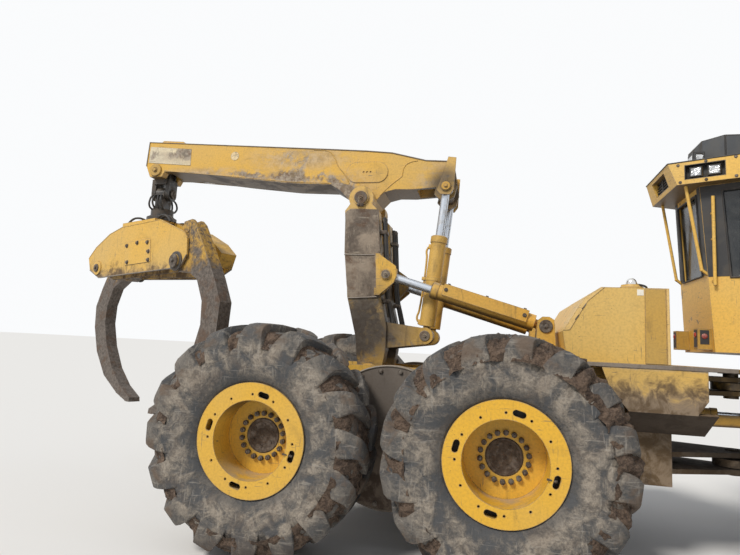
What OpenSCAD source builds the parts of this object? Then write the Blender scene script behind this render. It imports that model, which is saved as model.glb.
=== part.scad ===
// Six-wheel grapple skidder, built in millimetres, +X forward, +Y to its left, +Z up.
// Every X is measured from the bogie pivot, which stands at bogie_x in the shared frame.

/* [Place] */
// Bogie pivot, along X from the middle of the whole machine
bogie_x = -890; // [-1400:1:-600]

/* [Wheels] */
// Tyre radius out to the tips of the lugs
tyre_r = 900; // [840:5:940]
// Tyre section width
tyre_w = 700; // [600:10:760]
// Tread bars on each side of a tyre
bars_a_side = 16; // [12:1:20]
// Radius of the rim's outer flange
rim_r = 435; // [400:5:460]
// Radius of the opening in the rim's outer ring
dish_r = 298; // [250:2:310]
// Depth of the rim's dish behind the outer ring
dish_depth = 270; // [200:5:320]
// Middle of each tyre, from the centreline
track_half = 1300; // [1250:5:1400]
// Distance between the two wheels of a bogie
bogie_span = 1890; // [1860:5:2000]
// Front axle, ahead of the bogie pivot
front_axle_x = 4700; // [4600:10:4900]
// Radius of the round gear housing in the middle of each bogie beam
bogie_disc_r = 600; // [560:5:620]
// Radius of the wheel spindles
spindle_r = 120; // [90:5:140]

/* [Frames] */
// Articulation pin, ahead of the bogie pivot
artic_x = 2950; // [2900:5:3000]
// Outer face of the rear frame's side plates, from the centreline
rear_half_w = 540; // [520:5:560]
// Thickness of the frames' side plates
plate_t = 40; // [25:1:50]
// Bottom of both frames
belly_z = 640; // [600:5:700]
// Top of the rear frame's side plates
rear_top_z = 1480; // [1440:5:1500]
// Top of the rear deck
deck_z = 1618; // [1600:2:1630]
// Half width of the rear deck and the tank
deck_half_w = 850; // [800:5:870]
// Outer face of the front frame's side plates, from the centreline
front_half_w = 400; // [380:5:420]
// Radius of the articulation pins
artic_pin_r = 60; // [40:2:70]

/* [Arch and boom] */
// Arch pivot, along X from the bogie pivot
arch_x = -300; // [-340:5:-260]
// Arch pivot height
arch_z = 1400; // [1380:5:1410]
// Boom pivot, along X from the bogie pivot
boom_x = -465; // [-480:5:-450]
// Boom pivot height
boom_z = 3120; // [3100:5:3140]
// Half width of the boom's box
boom_half_w = 200; // [180:5:210]
// Outer face of the arch posts, from the centreline
arch_half_w = 400; // [390:5:405]
// Radius of the boom pivot pin
boom_pin_r = 60; // [50:2:70]
// Grapple hanging pin, along X from the bogie pivot
tip_x = -2935; // [-2960:5:-2920]
// Grapple hanging pin height
tip_z = 3520; // [3500:5:3540]

/* [Grapple] */
// Turn of the grapple's long axis from the machine's
grapple_turn = -25; // [-35:1:-20]
// Tong pivots, each from the rotator's axis
tong_u = 800; // [770:5:830]
// Height of the tong pivots
tong_z = 2420; // [2400:5:2440]
// Middle plane of each tong, from the rotator's axis
tong_v = 180; // [170:5:200]
// Width of a tong's box section
tong_w = 140; // [120:2:144]

/* [Cylinders] */
// Barrel radius of the arch and boom cylinders
barrel_r = 75; // [65:1:78]
// Rod radius of the arch and boom cylinders
rod_r = 40; // [34:1:44]
// Middle plane of the arch cylinders, from the centreline
arch_cyl_y = 465; // [460:1:470]
// Middle plane of the boom cylinders, from the centreline
boom_cyl_y = 300; // [295:1:305]

/* [Cab and hood] */
// Cab floor height
floor_z = 1750; // [1740:5:1760]
// Window sill height
sill_z = 2390; // [2340:5:2420]
// Underside of the roof
eaves_z = 3218; // [3180:2:3240]
// Roof thickness
roof_t = 208; // [180:2:220]
// Half width of the cab's narrow rear end
cab_rear_half = 332; // [310:2:350]
// Half width of the cab at its doors
cab_half = 850; // [820:5:870]
// Top of the cab's rear wall, ahead of the bogie pivot
cab_rear_x = 2620; // [2600:5:2650]
// How far the rear wall's foot stands ahead of its top
rear_lean = 80; // [40:5:100]
// Rear edge of the roof, ahead of the bogie pivot
roof_rear_x = 2357; // [2330:1:2400]
// Front wall of the cab, ahead of the bogie pivot
cab_front_x = 4380; // [4340:5:4400]
// Wall thickness of the cab
wall_t = 50; // [40:1:60]
// Half width of the hood
hood_half = 560; // [520:5:600]
// Top of the hood
hood_z = 2440; // [2380:5:2480]

/* [Blade] */
// Blade width
blade_w = 2900; // [2600:10:3100]
// Blade pivot, ahead of the bogie pivot
blade_x = 5330; // [5300:5:5350]
// Blade pivot height
blade_z = 800; // [780:5:820]

/* [Fits] */
// Running clearance round pins and spindles
run_gap = 0.3; // [0.2:0.05:0.5]
// Clearance beside eyes and lugs
side_gap = 8; // [6:1:12]

/* [Hidden] */
$fn = 48;
wheel_z = tyre_r;
bogie_half = bogie_span / 2;
tyre_half = tyre_w / 2;
rim_seat_r = rim_r - 35;
rim_half = 300;
rear_x = -950;
tow_x = -1070;
arch_base = [1300, 1905];
arch_eye = [-152, 2337];
boom_base = [217, 1779];
boom_eye = [369, 3241];
blade_base = [5100, 1380];
blade_eye = [5850, 1010];
steer_z = 1180;
steer_base = [2380, 420];
steer_eye = [3270, 290];
head_z = 2900;
swing_z = 3290;

// Shared shapes

module placed() translate([bogie_x, 0, 0]) children();

module both_sides() {
    children();
    mirror([0, 1, 0]) children();
}

// A shape drawn in X and Z, made t thick about the plane Y = y
module side_plate(points, t, y = 0)
    translate([0, y, 0]) rotate([90, 0, 0]) linear_extrude(t, center = true) polygon(points);

// A cylinder across the machine, about the plane Y = y
module cross_pin(at, r, len, y = 0)
    translate([at[0], y, at[1]]) rotate([90, 0, 0]) cylinder(h = len, r = r, center = true);

// Puts its children's +Z along the line from one pin to another
module along(from, to, y = 0)
    translate([from[0], y, from[1]])
        rotate([0, atan2(to[0] - from[0], to[1] - from[1]), 0]) children();

function span(from, to) = norm(to - from);

module box(from, to) translate(from) cube(to - from);

// Barrel with its base eye at the origin, up to the gland
module barrel(len, r, eye_r, eye_w, pin_r, inner_r) {
    foot = eye_r + 16;
    difference() {
        union() {
            translate([0, 0, foot]) cylinder(h = len - foot, r = r);
            translate([0, 0, len - 60]) cylinder(h = 60, r = r + 6);
            cylinder(h = foot + 4, r = eye_w / 2 - 1);
            rotate([90, 0, 0]) cylinder(h = eye_w, r = eye_r, center = true);
        }
        translate([0, 0, foot + 20]) cylinder(h = len - foot - 80, r = r - 14);
        translate([0, 0, foot + 20]) cylinder(h = len, r = inner_r + run_gap);
        rotate([90, 0, 0]) cylinder(h = eye_w + 2, r = pin_r + run_gap, center = true);
    }
}

// Rod back into the barrel; its eye carries the pin from pin_from to pin_to, along +Y
module rod(len, reach, r, eye_r, eye_w, pin_r, pin_from, pin_to) {
    translate([0, 0, len - reach]) cylinder(h = reach - eye_r * 0.6, r = r);
    translate([0, 0, len]) rotate([90, 0, 0]) cylinder(h = eye_w, r = eye_r, center = true);
    translate([0, pin_from, len]) rotate([-90, 0, 0]) cylinder(h = pin_to - pin_from, r = pin_r);
}

// Wheels

module wheel_at(x, left) {
    if (left) translate([x, track_half, wheel_z]) rotate([-90, 0, 0]) children();
    else translate([x, -track_half, wheel_z]) rotate([90, 0, 0]) children();
}

// A tyre with sixteen bars to a side, as one faceted body. Its rings run from the bore over the side
// wall and the shoulder to the middle; a station is [radius, across, degrees from the bar's start]
pitch = 360 / bars_a_side;
bar_lean = [17, 17, 16, 13.6, 3];
bar_wide = [0, 19, 13, 10.5, 9];
bar_draft = 1.2;

function bar_stations(ring, top, gap) = [
    [gap[0], gap[1], bar_lean[ring] - bar_wide[ring] / 2 - bar_draft],
    [top[0], top[1], bar_lean[ring] - bar_wide[ring] / 2],
    [top[0], top[1], bar_lean[ring] + bar_wide[ring] / 2],
    [gap[0], gap[1], bar_lean[ring] + bar_wide[ring] / 2 + bar_draft],
];

tyre_rings = [
    [[(rim_seat_r + run_gap) / cos(pitch / 2), rim_half - 28, bar_lean[0]]],
    [for (s = [-1, 1]) [tyre_r - 250, tyre_half, bar_lean[1] + s * bar_wide[1] / 2]],
    bar_stations(2, [tyre_r - 100, tyre_half - 2], [tyre_r - 112, tyre_half - 48]),
    bar_stations(3, [tyre_r - 12, tyre_half - 65], [tyre_r - 68, tyre_half - 90]),
    bar_stations(4, [tyre_r, 45], [tyre_r - 56, 38]),
];

// The inner side repeats the outer one, half a pitch on
function ring_points(side, ring) = [
    for (i = [0:bars_a_side - 1]) for (s = tyre_rings[ring])
        let(a = pitch * (i + side / 2) + s[2], y = s[1] * (1 - 2 * side))
        [s[0] * cos(a), s[0] * sin(a), y]
];

ring_first = [0, 1, 3, 7, 11];
ring_count = [1, 2, 4, 4, 4];
side_count = 15;
function pt(side, ring, i, k) = bars_a_side * (side_count * side + ring_first[ring])
    + (i % bars_a_side) * ring_count[ring] + k;
function pt_next(side, ring, i, k) = k < 3 ? pt(side, ring, i, k + 1) : pt(side, ring, i + 1, 0);

function side_faces(side, i) = [
    [pt(side, 0, i, 0), pt(side, 1, i, 0), pt(side, 1, i, 1)],
    [pt(side, 0, i, 0), pt(side, 1, i, 1), pt(side, 0, i + 1, 0)],
    [pt(side, 0, i + 1, 0), pt(side, 1, i, 1), pt(side, 1, i + 1, 0)],
    [pt(side, 1, i, 0), pt(side, 2, i, 0), pt(side, 2, i, 1)],
    [pt(side, 1, i, 0), pt(side, 2, i, 1), pt(side, 2, i, 2)],
    [pt(side, 1, i, 0), pt(side, 2, i, 2), pt(side, 1, i, 1)],
    [pt(side, 1, i, 1), pt(side, 2, i, 2), pt(side, 2, i, 3)],
    [pt(side, 1, i, 1), pt(side, 2, i, 3), pt(side, 2, i + 1, 0)],
    [pt(side, 1, i, 1), pt(side, 2, i + 1, 0), pt(side, 1, i + 1, 0)],
    for (ring = [2, 3]) for (k = [0:3]) each [
        [pt(side, ring, i, k), pt(side, ring + 1, i, k), pt_next(side, ring + 1, i, k)],
        [pt(side, ring, i, k), pt_next(side, ring + 1, i, k), pt_next(side, ring, i, k)],
    ],
];

// Across the bore, and across the middle of the tread where one side's bars end in the other's gaps
function middle_faces(i) = [
    [pt(0, 0, i, 0), pt(0, 0, i + 1, 0), pt(1, 0, i, 0)],
    [pt(1, 0, i, 0), pt(0, 0, i + 1, 0), pt(1, 0, i + 1, 0)],
    [pt(1, 4, i, 0), pt(0, 4, i, 3), pt(0, 4, i, 2)],
    [pt(1, 4, i, 0), pt(0, 4, i, 2), pt(1, 4, i + bars_a_side - 1, 3)],
    [pt(1, 4, i + bars_a_side - 1, 3), pt(0, 4, i, 2), pt(0, 4, i, 1)],
    [pt(1, 4, i + bars_a_side - 1, 3), pt(0, 4, i, 1), pt(0, 4, i, 0)],
    [pt(0, 4, i, 3), pt(1, 4, i, 0), pt(1, 4, i, 1)],
    [pt(0, 4, i, 3), pt(1, 4, i, 1), pt(1, 4, i, 2)],
    [pt(0, 4, i, 3), pt(1, 4, i, 2), pt(0, 4, i + 1, 0)],
    [pt(0, 4, i + 1, 0), pt(1, 4, i, 2), pt(1, 4, i, 3)],
];

module tyre(turned) rotate(turned) polyhedron(
    points = [for (side = [0, 1]) for (ring = [0:4]) each ring_points(side, ring)],
    faces = [for (i = [0:bars_a_side - 1]) each concat(
        middle_faces(i), side_faces(0, i), [for (f = side_faces(1, i)) [f[2], f[1], f[0]]]
    )]
);

// Barrel, outer ring with its slots, deep dish, disc and hub in one
module rim() {
    floor_h = rim_half - dish_depth;
    difference() {
        rotate_extrude($fn = 96) polygon([
            [spindle_r + run_gap, -140], [220, -140], [220, 0], [dish_r + 12, 0],
            [dish_r + 12, rim_half - 15], [rim_seat_r - 20, rim_half - 15],
            [rim_seat_r - 20, -rim_half], [rim_r, -rim_half], [rim_r, 16 - rim_half],
            [rim_seat_r, 16 - rim_half], [rim_seat_r, rim_half - 16], [rim_r, rim_half - 16],
            [rim_r, rim_half], [dish_r, rim_half], [dish_r, floor_h], [138, floor_h],
            [138, floor_h - 15], [0, floor_h - 15], [0, floor_h - 45], [spindle_r + run_gap, floor_h - 45],
        ]);
        for (a = [0:30:330]) rotate(a) translate([345, 0, rim_half - 20]) cylinder(h = 30, r = 9, $fn = 24);
        for (a = [75:90:345]) rotate(a) translate([352, 0, rim_half - 20]) {
            translate([-22, -24, 0]) cube([44, 48, 30]);
            for (s = [-24, 24]) translate([0, s, 0]) cylinder(h = 30, r = 22, $fn = 24);
        }
    }
}

module tyre_rear_right() color("dimgray") placed() wheel_at(-bogie_half, false) tyre(9);
module tyre_rear_left() color("dimgray") placed() mirror([0, 1, 0]) wheel_at(-bogie_half, false) tyre(9);
module tyre_mid_right() color("dimgray") placed() wheel_at(bogie_half, false) tyre(1);
module tyre_mid_left() color("dimgray") placed() mirror([0, 1, 0]) wheel_at(bogie_half, false) tyre(1);
module tyre_front_right() color("dimgray") placed() wheel_at(front_axle_x, false) tyre(6);
module tyre_front_left() color("dimgray") placed() mirror([0, 1, 0]) wheel_at(front_axle_x, false) tyre(6);
module rim_rear_right() color("goldenrod") placed() wheel_at(-bogie_half, false) rim();
module rim_rear_left() color("goldenrod") placed() wheel_at(-bogie_half, true) rim();
module rim_mid_right() color("goldenrod") placed() wheel_at(bogie_half, false) rim();
module rim_mid_left() color("goldenrod") placed() wheel_at(bogie_half, true) rim();
module rim_front_right() color("goldenrod") placed() wheel_at(front_axle_x, false) rim();
module rim_front_left() color("goldenrod") placed() wheel_at(front_axle_x, true) rim();

spindle_end = track_half + rim_half - dish_depth - 50;
beam_in = 620;
beam_out = 900;

module bogie_beams() color("goldenrod") placed() both_sides() {
    side_plate([
        [-1085, 820], [-1085, 970], [-560, 1150], [560, 1150],
        [1085, 970], [1085, 820], [560, 650], [-560, 650],
    ], beam_out - beam_in, (beam_in + beam_out) / 2);
    cross_pin([0, wheel_z], bogie_disc_r, beam_out - 740 + 5, (beam_out + 745) / 2);
    for (x = [-bogie_half, bogie_half])
        cross_pin([x, wheel_z], spindle_r, spindle_end - beam_out + 10, (beam_out - 10 + spindle_end) / 2);
}

axle_r = 190;
module bogie_axle() color("goldenrod") placed() {
    cross_pin([0, wheel_z], axle_r, beam_in * 2);
    both_sides() difference() {
        cross_pin([0, wheel_z], axle_r + 60, beam_in - rear_half_w, (beam_in + rear_half_w) / 2);
        cross_pin([0, wheel_z], axle_r - 10, beam_in, (beam_in + rear_half_w) / 2);
    }
}

// Rear frame

module ear(z, t, reach, root_x, root_half) translate([0, 0, z]) linear_extrude(t) difference() {
    union() {
        translate([artic_x, 0]) circle(r = 160);
        polygon([
            [root_x, -root_half], [artic_x, -160], [artic_x, 160], [root_x, root_half],
        ]);
    }
    if (reach > 0) translate([artic_x, 0]) circle(r = reach);
}

module rear_frame() color("goldenrod") placed() {
    inner = rear_half_w - plate_t;
    both_sides() difference() {
        side_plate([
            [rear_x, 820], [rear_x, 1330], [-780, rear_top_z], [1050, rear_top_z], [1150, deck_z - 30],
            [2300, deck_z - 30], [2300, belly_z], [-760, belly_z],
        ], plate_t, rear_half_w - plate_t / 2);
        cross_pin([0, wheel_z], axle_r + run_gap, plate_t + 20, rear_half_w - plate_t / 2);
    }
    // belly, rear plate and bulkheads between the side plates
    box([-700, -inner, belly_z], [2300, inner, belly_z + 30]);
    box([rear_x, -inner, 900], [rear_x + 40, inner, 1300]);
    box([620, -inner, belly_z + 20], [650, inner, 1300]);
    box([2260, -inner, belly_z], [2300, inner, deck_z - 30]);
    // arch pivot pins, with bosses inside the plates
    both_sides() {
        cross_pin([arch_x, arch_z], 60, inner - 240, (inner + 240) / 2);
        cross_pin([arch_x, arch_z], 95, inner - arch_half_w - side_gap, (inner + arch_half_w + side_gap) / 2);
    }
    // knuckle ears above and below, with their pins
    for (z = [1380, 1500, 720, 860]) ear(z, 40, 0, 2290, 420);
    for (z = [1350, 690]) translate([artic_x, 0, z]) cylinder(h = 220, r = artic_pin_r);
    // steering cylinder lugs and pins
    both_sides() {
        for (z = [steer_z - 58, steer_z + 33]) {
            box([2290, steer_base[1] - 45, z], [steer_base[0], steer_base[1] + 45, z + 25]);
            translate([steer_base[0], steer_base[1], z]) cylinder(h = 25, r = 45);
        }
        translate([steer_base[0], steer_base[1], steer_z - 58]) cylinder(h = 116, r = 28);
    }
}

// Towing eye bolted to the rear plate
module tow_eye() color("goldenrod") placed() difference() {
    union() {
        box([tow_x, -70, 980], [rear_x, 70, 1060]);
        translate([tow_x, 0, 980]) cylinder(h = 80, r = 70);
        box([rear_x - 30, -130, 930], [rear_x, 130, 1110]);
    }
    translate([tow_x, 0, 970]) cylinder(h = 100, r = 30);
}

// Deck plate, side panels, sloped lower panels and the arch cylinders' brackets
module rear_deck() color("goldenrod") placed() {
    translate([0, 0, deck_z - 30]) linear_extrude(30) polygon([
        [1150, -deck_half_w], [2690, -deck_half_w], [2750, -deck_half_w + 70],
        [2750, deck_half_w - 70], [2690, deck_half_w], [1150, deck_half_w],
    ]);
    both_sides() {
        side_plate([
            [1700, deck_z - 20], [2480, deck_z - 20], [2480, 1360], [2400, 1247], [1907, 1247], [1768, 1420],
        ], 30, deck_half_w - 15);
        translate([1907, 0, 0]) rotate([90, 0, 90]) linear_extrude(640) polygon([
            [deck_half_w, 1250], [rear_half_w, 1060], [rear_half_w, 1090], [deck_half_w - 40, 1262],
        ]);
        for (y = [arch_cyl_y - 70, arch_cyl_y + 70]) side_plate([
            [arch_base[0] - 90, deck_z - 10], [arch_base[0] + 95, deck_z - 10],
            [arch_base[0] + 70, arch_base[1] + 60], [arch_base[0] + 30, arch_base[1] + 85],
            [arch_base[0] - 30, arch_base[1] + 85], [arch_base[0] - 70, arch_base[1] + 50],
        ], 40, y);
        cross_pin(arch_base, 38, 180, arch_cyl_y);
    }
}

tank_top_z = 2230;

module fuel_tank() color("goldenrod") placed() side_plate([
    [1440, deck_z], [1405, 1858], [1571, tank_top_z - 94], [1702, tank_top_z], [2211, tank_top_z],
    [2217, deck_z],
], deck_half_w * 2);

module fuel_cap() color("silver") placed() translate([1955, 105 - deck_half_w, tank_top_z]) {
    cylinder(h = 26, r = 72);
    cylinder(h = 52, r = 44);
    translate([0, 0, 50]) sphere(r = 42);
}

// Arch

module arch() color("goldenrod") placed() {
    mid = (arch_half_w + 240) / 2;
    both_sides() {
        difference() {
            union() {
                side_plate([
                    [-625, 2990], [-560, 3080], [-370, 3080], [-285, 2990], [-222, 2140], [-150, 1850],
                    [-150, 1620], [-190, 1400], [-410, 1400], [-450, 1740], [-554, 2126],
                ], arch_half_w - 240, mid);
                cross_pin([boom_x, boom_z], 125, arch_half_w - 240, mid);
                cross_pin([arch_x, arch_z], 118, arch_half_w - 240, mid);
            }
            cross_pin([arch_x, arch_z], 60 + run_gap, arch_half_w, mid);
        }
        // lugs ahead of the foot for the boom cylinder
        for (y = [boom_cyl_y - 59, boom_cyl_y + 59]) {
            side_plate([
                [-200, 1640], [-200, 1900], [boom_base[0] - 20, boom_base[1] + 74],
                [boom_base[0] + 20, boom_base[1] - 78], [boom_base[0] - 60, boom_base[1] - 90],
            ], 32, y);
            cross_pin(boom_base, 80, 32, y);
        }
        cross_pin(boom_base, 36, 150, boom_cyl_y);
        // inner and outer lugs round the eye of the arch cylinder
        side_plate([
            [-300, 2560], [-258, 2560], [arch_eye[0] + 85, arch_eye[1] + 70],
            [arch_eye[0] + 85, arch_eye[1] - 20], [-200, 2150], [-240, 2140],
        ], 20, arch_half_w + 5);
        lug_y = arch_cyl_y + 42 + side_gap + 10;
        side_plate([
            [-262, 2540], [-235, 2540], [arch_eye[0] + 90, arch_eye[1] + 84], [arch_eye[0] + 102, arch_eye[1] - 6],
            [arch_eye[0] + 76, arch_eye[1] - 76], [-212, 2140], [-240, 2140],
        ], 20, lug_y);
        cross_pin(arch_eye, 52, 34, lug_y + 7);
        for (z = [[2140, 2212], [2466, 2540]]) box([-262, arch_half_w - 5, z[0]], [-216, lug_y, z[1]]);
        cross_pin([boom_x, boom_z], 78, 20, arch_half_w + 8);
    }
    box([-430, -250, 1650], [-175, 250, 1950]);
    cross_pin([boom_x, boom_z], boom_pin_r, arch_half_w * 2);
}

// Barrels with a guard over the top and the outer side
module arch_barrels() color("darkorange") placed() both_sides() along(arch_base, arch_eye, arch_cyl_y) {
    barrel(1060, barrel_r, 82, 84, 38, rod_r);
    difference() {
        box([-20, -76, 170], [barrel_r + 14, 86, 960]);
        box([-21, -77, 169], [barrel_r + 4, 78, 961]);
    }
    for (z = [190, 920]) difference() {
        box([0, -70, z], [barrel_r + 5, 79, z + 20]);
        translate([0, 0, z - 1]) cylinder(h = 22, r = barrel_r - 1);
    }
}

module arch_rods() color("lightsteelblue") placed() both_sides()
    along(arch_base, arch_eye, arch_cyl_y)
        rod(span(arch_base, arch_eye), 1000, rod_r, 62, 84, 50, -42, 42);

module boom_barrels() color("darkorange") placed() both_sides()
    along(boom_base, boom_eye, boom_cyl_y) barrel(970, barrel_r, 78, 70, 36, rod_r);

module boom_rods() color("lightsteelblue") placed() both_sides()
    along(boom_base, boom_eye, boom_cyl_y)
        rod(span(boom_base, boom_eye), 900, rod_r, 66, 82, 44, boom_half_w + side_gap - boom_cyl_y, 41);

// Boom

module boom_arm() color("goldenrod") placed() {
    difference() {
        side_plate([
            [-3045, 3856], [-880, 3712], [-487, 3684], [-210, 3656], [42, 3592], [146, 3566],
                [425, 3550], [467, 3290], [440, 3180], [382, 3145], [290, 3160], [240, 3212], [257, 3281],
                [15, 3262], [-161, 3265], [-275, 3235], [-356, 3150], [-430, 3018], [-500, 3018],
                [-570, 3060], [-630, 3142], [-745, 3261], [-858, 3327], [-1304, 3345], [-1888, 3409],
                [-2498, 3488], [-2825, 3500], [-2855, 3445], [-3005, 3445], [-3060, 3571],
            ], boom_half_w * 2);
        cross_pin([boom_x, boom_z], boom_pin_r + run_gap, boom_half_w * 3);
        // fork round the yoke, and the open tail
        box([-3100, -110, 3400], [-2775, 110, 3660]);
        box([60, -150, 3100], [500, 150, 3500]);
    }
    cross_pin([tip_x, tip_z], 45, boom_half_w * 2 - 10);
    // oval pads over the pivot, each with three plug holes
    both_sides() translate([boom_x, boom_half_w - 1, boom_z + 330]) rotate([-90, 0, 0]) linear_extrude(9)
        difference() {
            hull() for (x = [-110, 110]) translate([x, 0]) circle(r = 110);
            for (x = [-37, 0, 37]) translate([x, 0]) circle(r = 10);
        }
    cross_pin(boom_eye, 52, boom_half_w * 2);
    // outer lugs round the eyes of the boom cylinders
    tail_y = boom_cyl_y + 41 + side_gap + 10;
    both_sides() {
        side_plate([
            [385, 3540], [462, 3530], [boom_eye[0] + 78, boom_eye[1] - 30], [boom_eye[0] + 42, boom_eye[1] - 82],
            [boom_eye[0] - 52, boom_eye[1] - 78], [boom_eye[0] - 88, boom_eye[1] - 36],
        ], 20, tail_y);
        cross_pin(boom_eye, 50, 32, tail_y + 6);
        box([385, boom_half_w - 5, 3420], [425, tail_y, 3535]);
    }
    // plate hump over the tip
    side_plate([[-2960, 3845], [-2900, 3885], [-2650, 3868], [-2600, 3821]], 300);
}

// Grapple

module yoke() color("dimgray") placed() translate([tip_x, 0, 0]) {
    difference() {
        union() {
            rotate([90, 0, 0]) translate([0, tip_z, 0]) cylinder(h = 200, r = 78, center = true);
            box([-78, -100, swing_z + 100], [78, 100, tip_z]);
            for (x = [-112, 62]) {
                box([x, -80, swing_z], [x + 50, 80, swing_z + 160]);
                translate([x, 0, swing_z]) rotate([0, 90, 0]) cylinder(h = 50, r = 80);
            }
        }
        rotate([90, 0, 0]) translate([0, tip_z, 0]) cylinder(h = 240, r = 45 + run_gap, center = true);
    }
    translate([-120, 0, swing_z]) rotate([0, 90, 0]) cylinder(h = 240, r = 40);
}

module swing_block() color("dimgray") placed() translate([tip_x, 0, 0]) {
    difference() {
        union() {
            translate([-54, 0, swing_z]) rotate([0, 90, 0]) cylinder(h = 108, r = 78);
            box([-54, -78, head_z + 180], [54, 78, swing_z]);
            translate([0, 0, head_z + 110]) cylinder(h = 90, r = 125);
        }
        translate([-60, 0, swing_z]) rotate([0, 90, 0]) cylinder(h = 120, r = 40 + run_gap);
    }
    translate([0, 0, head_z + 60]) cylinder(h = 60, r = 60);
}

module rotator() color("dimgray") placed() translate([tip_x, 0, head_z + 20 + run_gap]) difference() {
    cylinder(h = 84, r = 165);
    translate([0, 0, 30]) cylinder(h = 60, r = 60 + run_gap);
}

module on_head(turned = false)
    placed() translate([tip_x, 0, 0]) rotate([0, 0, grapple_turn + (turned ? 180 : 0)]) children();

housing = [
    [-890, 2680], [-600, 2820], [-340, 2880], [430, 2896], [890, 2722], [955, 2650], [970, 2480],
    [870, 2350], [-760, 2300], [-990, 2400], [-1050, 2550],
];
housing_gap = 160;
housing_w = 200;

module grapple_head() color("goldenrod") {
    for (turned = [false, true]) on_head(turned) {
        for (s = [-1, 1]) side_plate(housing, 20, -tong_v + s * (housing_w - 20) / 2);
        // cover along the top and the closed end
        side_plate([
            [-990, 2400], [-1050, 2550], [-890, 2680], [-600, 2820], [-340, 2880], [430, 2896],
            [430, 2874], [-337, 2858], [-594, 2798], [-878, 2661], [-1026, 2543], [-973, 2408],
        ], housing_w, -tong_v);
        cross_pin([tong_u, tong_z], 45, tong_v * 2 + 240);
        cross_pin([tong_u, tong_z], 70, 30, -tong_v - 115);
    }
    on_head() {
        box([-340, -tong_v + housing_w / 2 - 10, 2580], [340, tong_v - housing_w / 2 + 10, 2880]);
        box([-330, -280, 2870], [330, 280, head_z + 20]);
    }
}

// Curved box section from the arm above the pivot down to the tip
tong_shape = [
    [-105, 60], [-60, 200], [40, 415], [170, 430], [235, 380], [390, 150], [600, -180], [720, -420],
    [700, -690], [580, -1000], [340, -1290], [0, -1480], [-230, -1560], [-300, -1560], [-290, -1510],
    [-60, -1390], [170, -1190], [350, -920], [450, -640], [440, -410], [330, -190], [150, -95], [0, -105], [-90, -60],
];
tong_arm = [110, 330];

module tong() translate([tong_u, 0, tong_z]) {
    difference() {
        side_plate(tong_shape, tong_w, -tong_v);
        cross_pin([0, 0], 45 + run_gap, tong_w + 20, -tong_v);
        box([-60, -tong_v - 36, 240], [260, -tong_v + 36, 450]);
    }
    for (s = [-1, 1]) cross_pin(tong_arm, 34, 12, -tong_v + s * (tong_w / 2 + 2));
}

module tong_right() color("goldenrod") on_head() tong();
module tong_left() color("goldenrod") on_head(true) tong();

grip_base = [-tong_u, tong_z];
grip_eye = [tong_u + tong_arm[0], tong_z + tong_arm[1]];

module grip_barrel() along(grip_base, grip_eye, -tong_v) barrel(1180, 60, 80, 116, 45, 26);
module grip_rod() along(grip_base, grip_eye, -tong_v)
    rod(span(grip_base, grip_eye), 900, 26, 52, 56, 30, -28, 28);
module grip_barrel_right() color("darkorange") on_head() grip_barrel();
module grip_rod_right() color("lightsteelblue") on_head() grip_rod();
module grip_barrel_left() color("darkorange") on_head(true) grip_barrel();
module grip_rod_left() color("lightsteelblue") on_head(true) grip_rod();

// Front frame

module front_frame() color("goldenrod") placed() {
    inner = front_half_w - plate_t;
    both_sides() difference() {
        side_plate([
            [3400, 1480], [5000, 1480], [5500, 1300], [5620, 1000], [5620, belly_z + 60],
            [5500, belly_z], [3400, belly_z],
        ], plate_t, front_half_w - plate_t / 2);
        cross_pin([front_axle_x, wheel_z], 170 + run_gap, plate_t + 20, front_half_w - plate_t / 2);
    }
    box([3400, -inner, belly_z], [5500, inner, belly_z + 30]);
    box([3400, -inner, belly_z], [3440, inner, 1480]);
    box([5560, -inner, belly_z + 60], [5600, inner, 960]);
    box([3400, -hood_half, 1480], [5000, hood_half, 1510]);
    box([3300, -450, 1505], [4300, 450, floor_z]);
    // single knuckle ears between the rear frame's pairs
    for (z = [1428, 768]) ear(z, 64, artic_pin_r + run_gap, 3410, 300);
    both_sides() {
        for (z = [steer_z - 58, steer_z + 33]) {
            box([steer_eye[0], steer_eye[1] - 45, z], [3410, steer_eye[1] + 45, z + 25]);
            translate([steer_eye[0], steer_eye[1], z]) cylinder(h = 25, r = 45);
        }
        for (z = [steer_z - 68, steer_z + 56]) translate([steer_eye[0], steer_eye[1], z]) cylinder(h = 12, r = 30);
        cross_pin([blade_x, blade_z], 50, 110, front_half_w + 50);
    }
    cross_pin(blade_base, 35, inner * 2 + 20);
}

module front_axle() color("goldenrod") placed() {
    cross_pin([front_axle_x, wheel_z], 170, beam_out * 2);
    translate([front_axle_x, 0, wheel_z]) sphere(r = 215);
    both_sides() {
        cross_pin([front_axle_x, wheel_z], spindle_r, spindle_end - beam_out + 10, (beam_out - 10 + spindle_end) / 2);
        cross_pin([front_axle_x, wheel_z], 230, 120, beam_out - 60);
    }
}

hood_shape = [[4385, 1510], [4385, hood_z], [5560, hood_z - 90], [5700, hood_z - 260], [5700, 1510]];
function hood_top(x) = hood_z - 90 * (x - 4385) / 1175;

module hood() color("goldenrod") placed() difference() {
    side_plate(hood_shape, hood_half * 2);
    side_plate([
        [4415, 1500], [4415, hood_z - 30], [5545, hood_z - 120], [5670, hood_z - 275], [5670, 1500],
    ], hood_half * 2 - 60);
    for (s = [-1, 1]) box([4700, s * hood_half - 40, 1750], [5450, s * hood_half + 40, 2200]);
    box([5600, -420, 1620], [5800, 420, 2120]);
}

module grilles() color("dimgray") placed() {
    both_sides() {
        box([4700, hood_half - 28, 1750], [5450, hood_half - 20, 2200]);
        for (z = [1780:52:2150]) box([4700, hood_half - 24, z], [5450, hood_half - 4, z + 22]);
    }
    box([5672, -420, 1620], [5680, 420, 2120]);
    for (y = [-392:56:376]) box([5676, y, 1620], [5696, y + 16, 2120]);
}

module engine_block() color("gray") placed() box([4500, -300, 1510], [5450, 300, 2150]);

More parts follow.
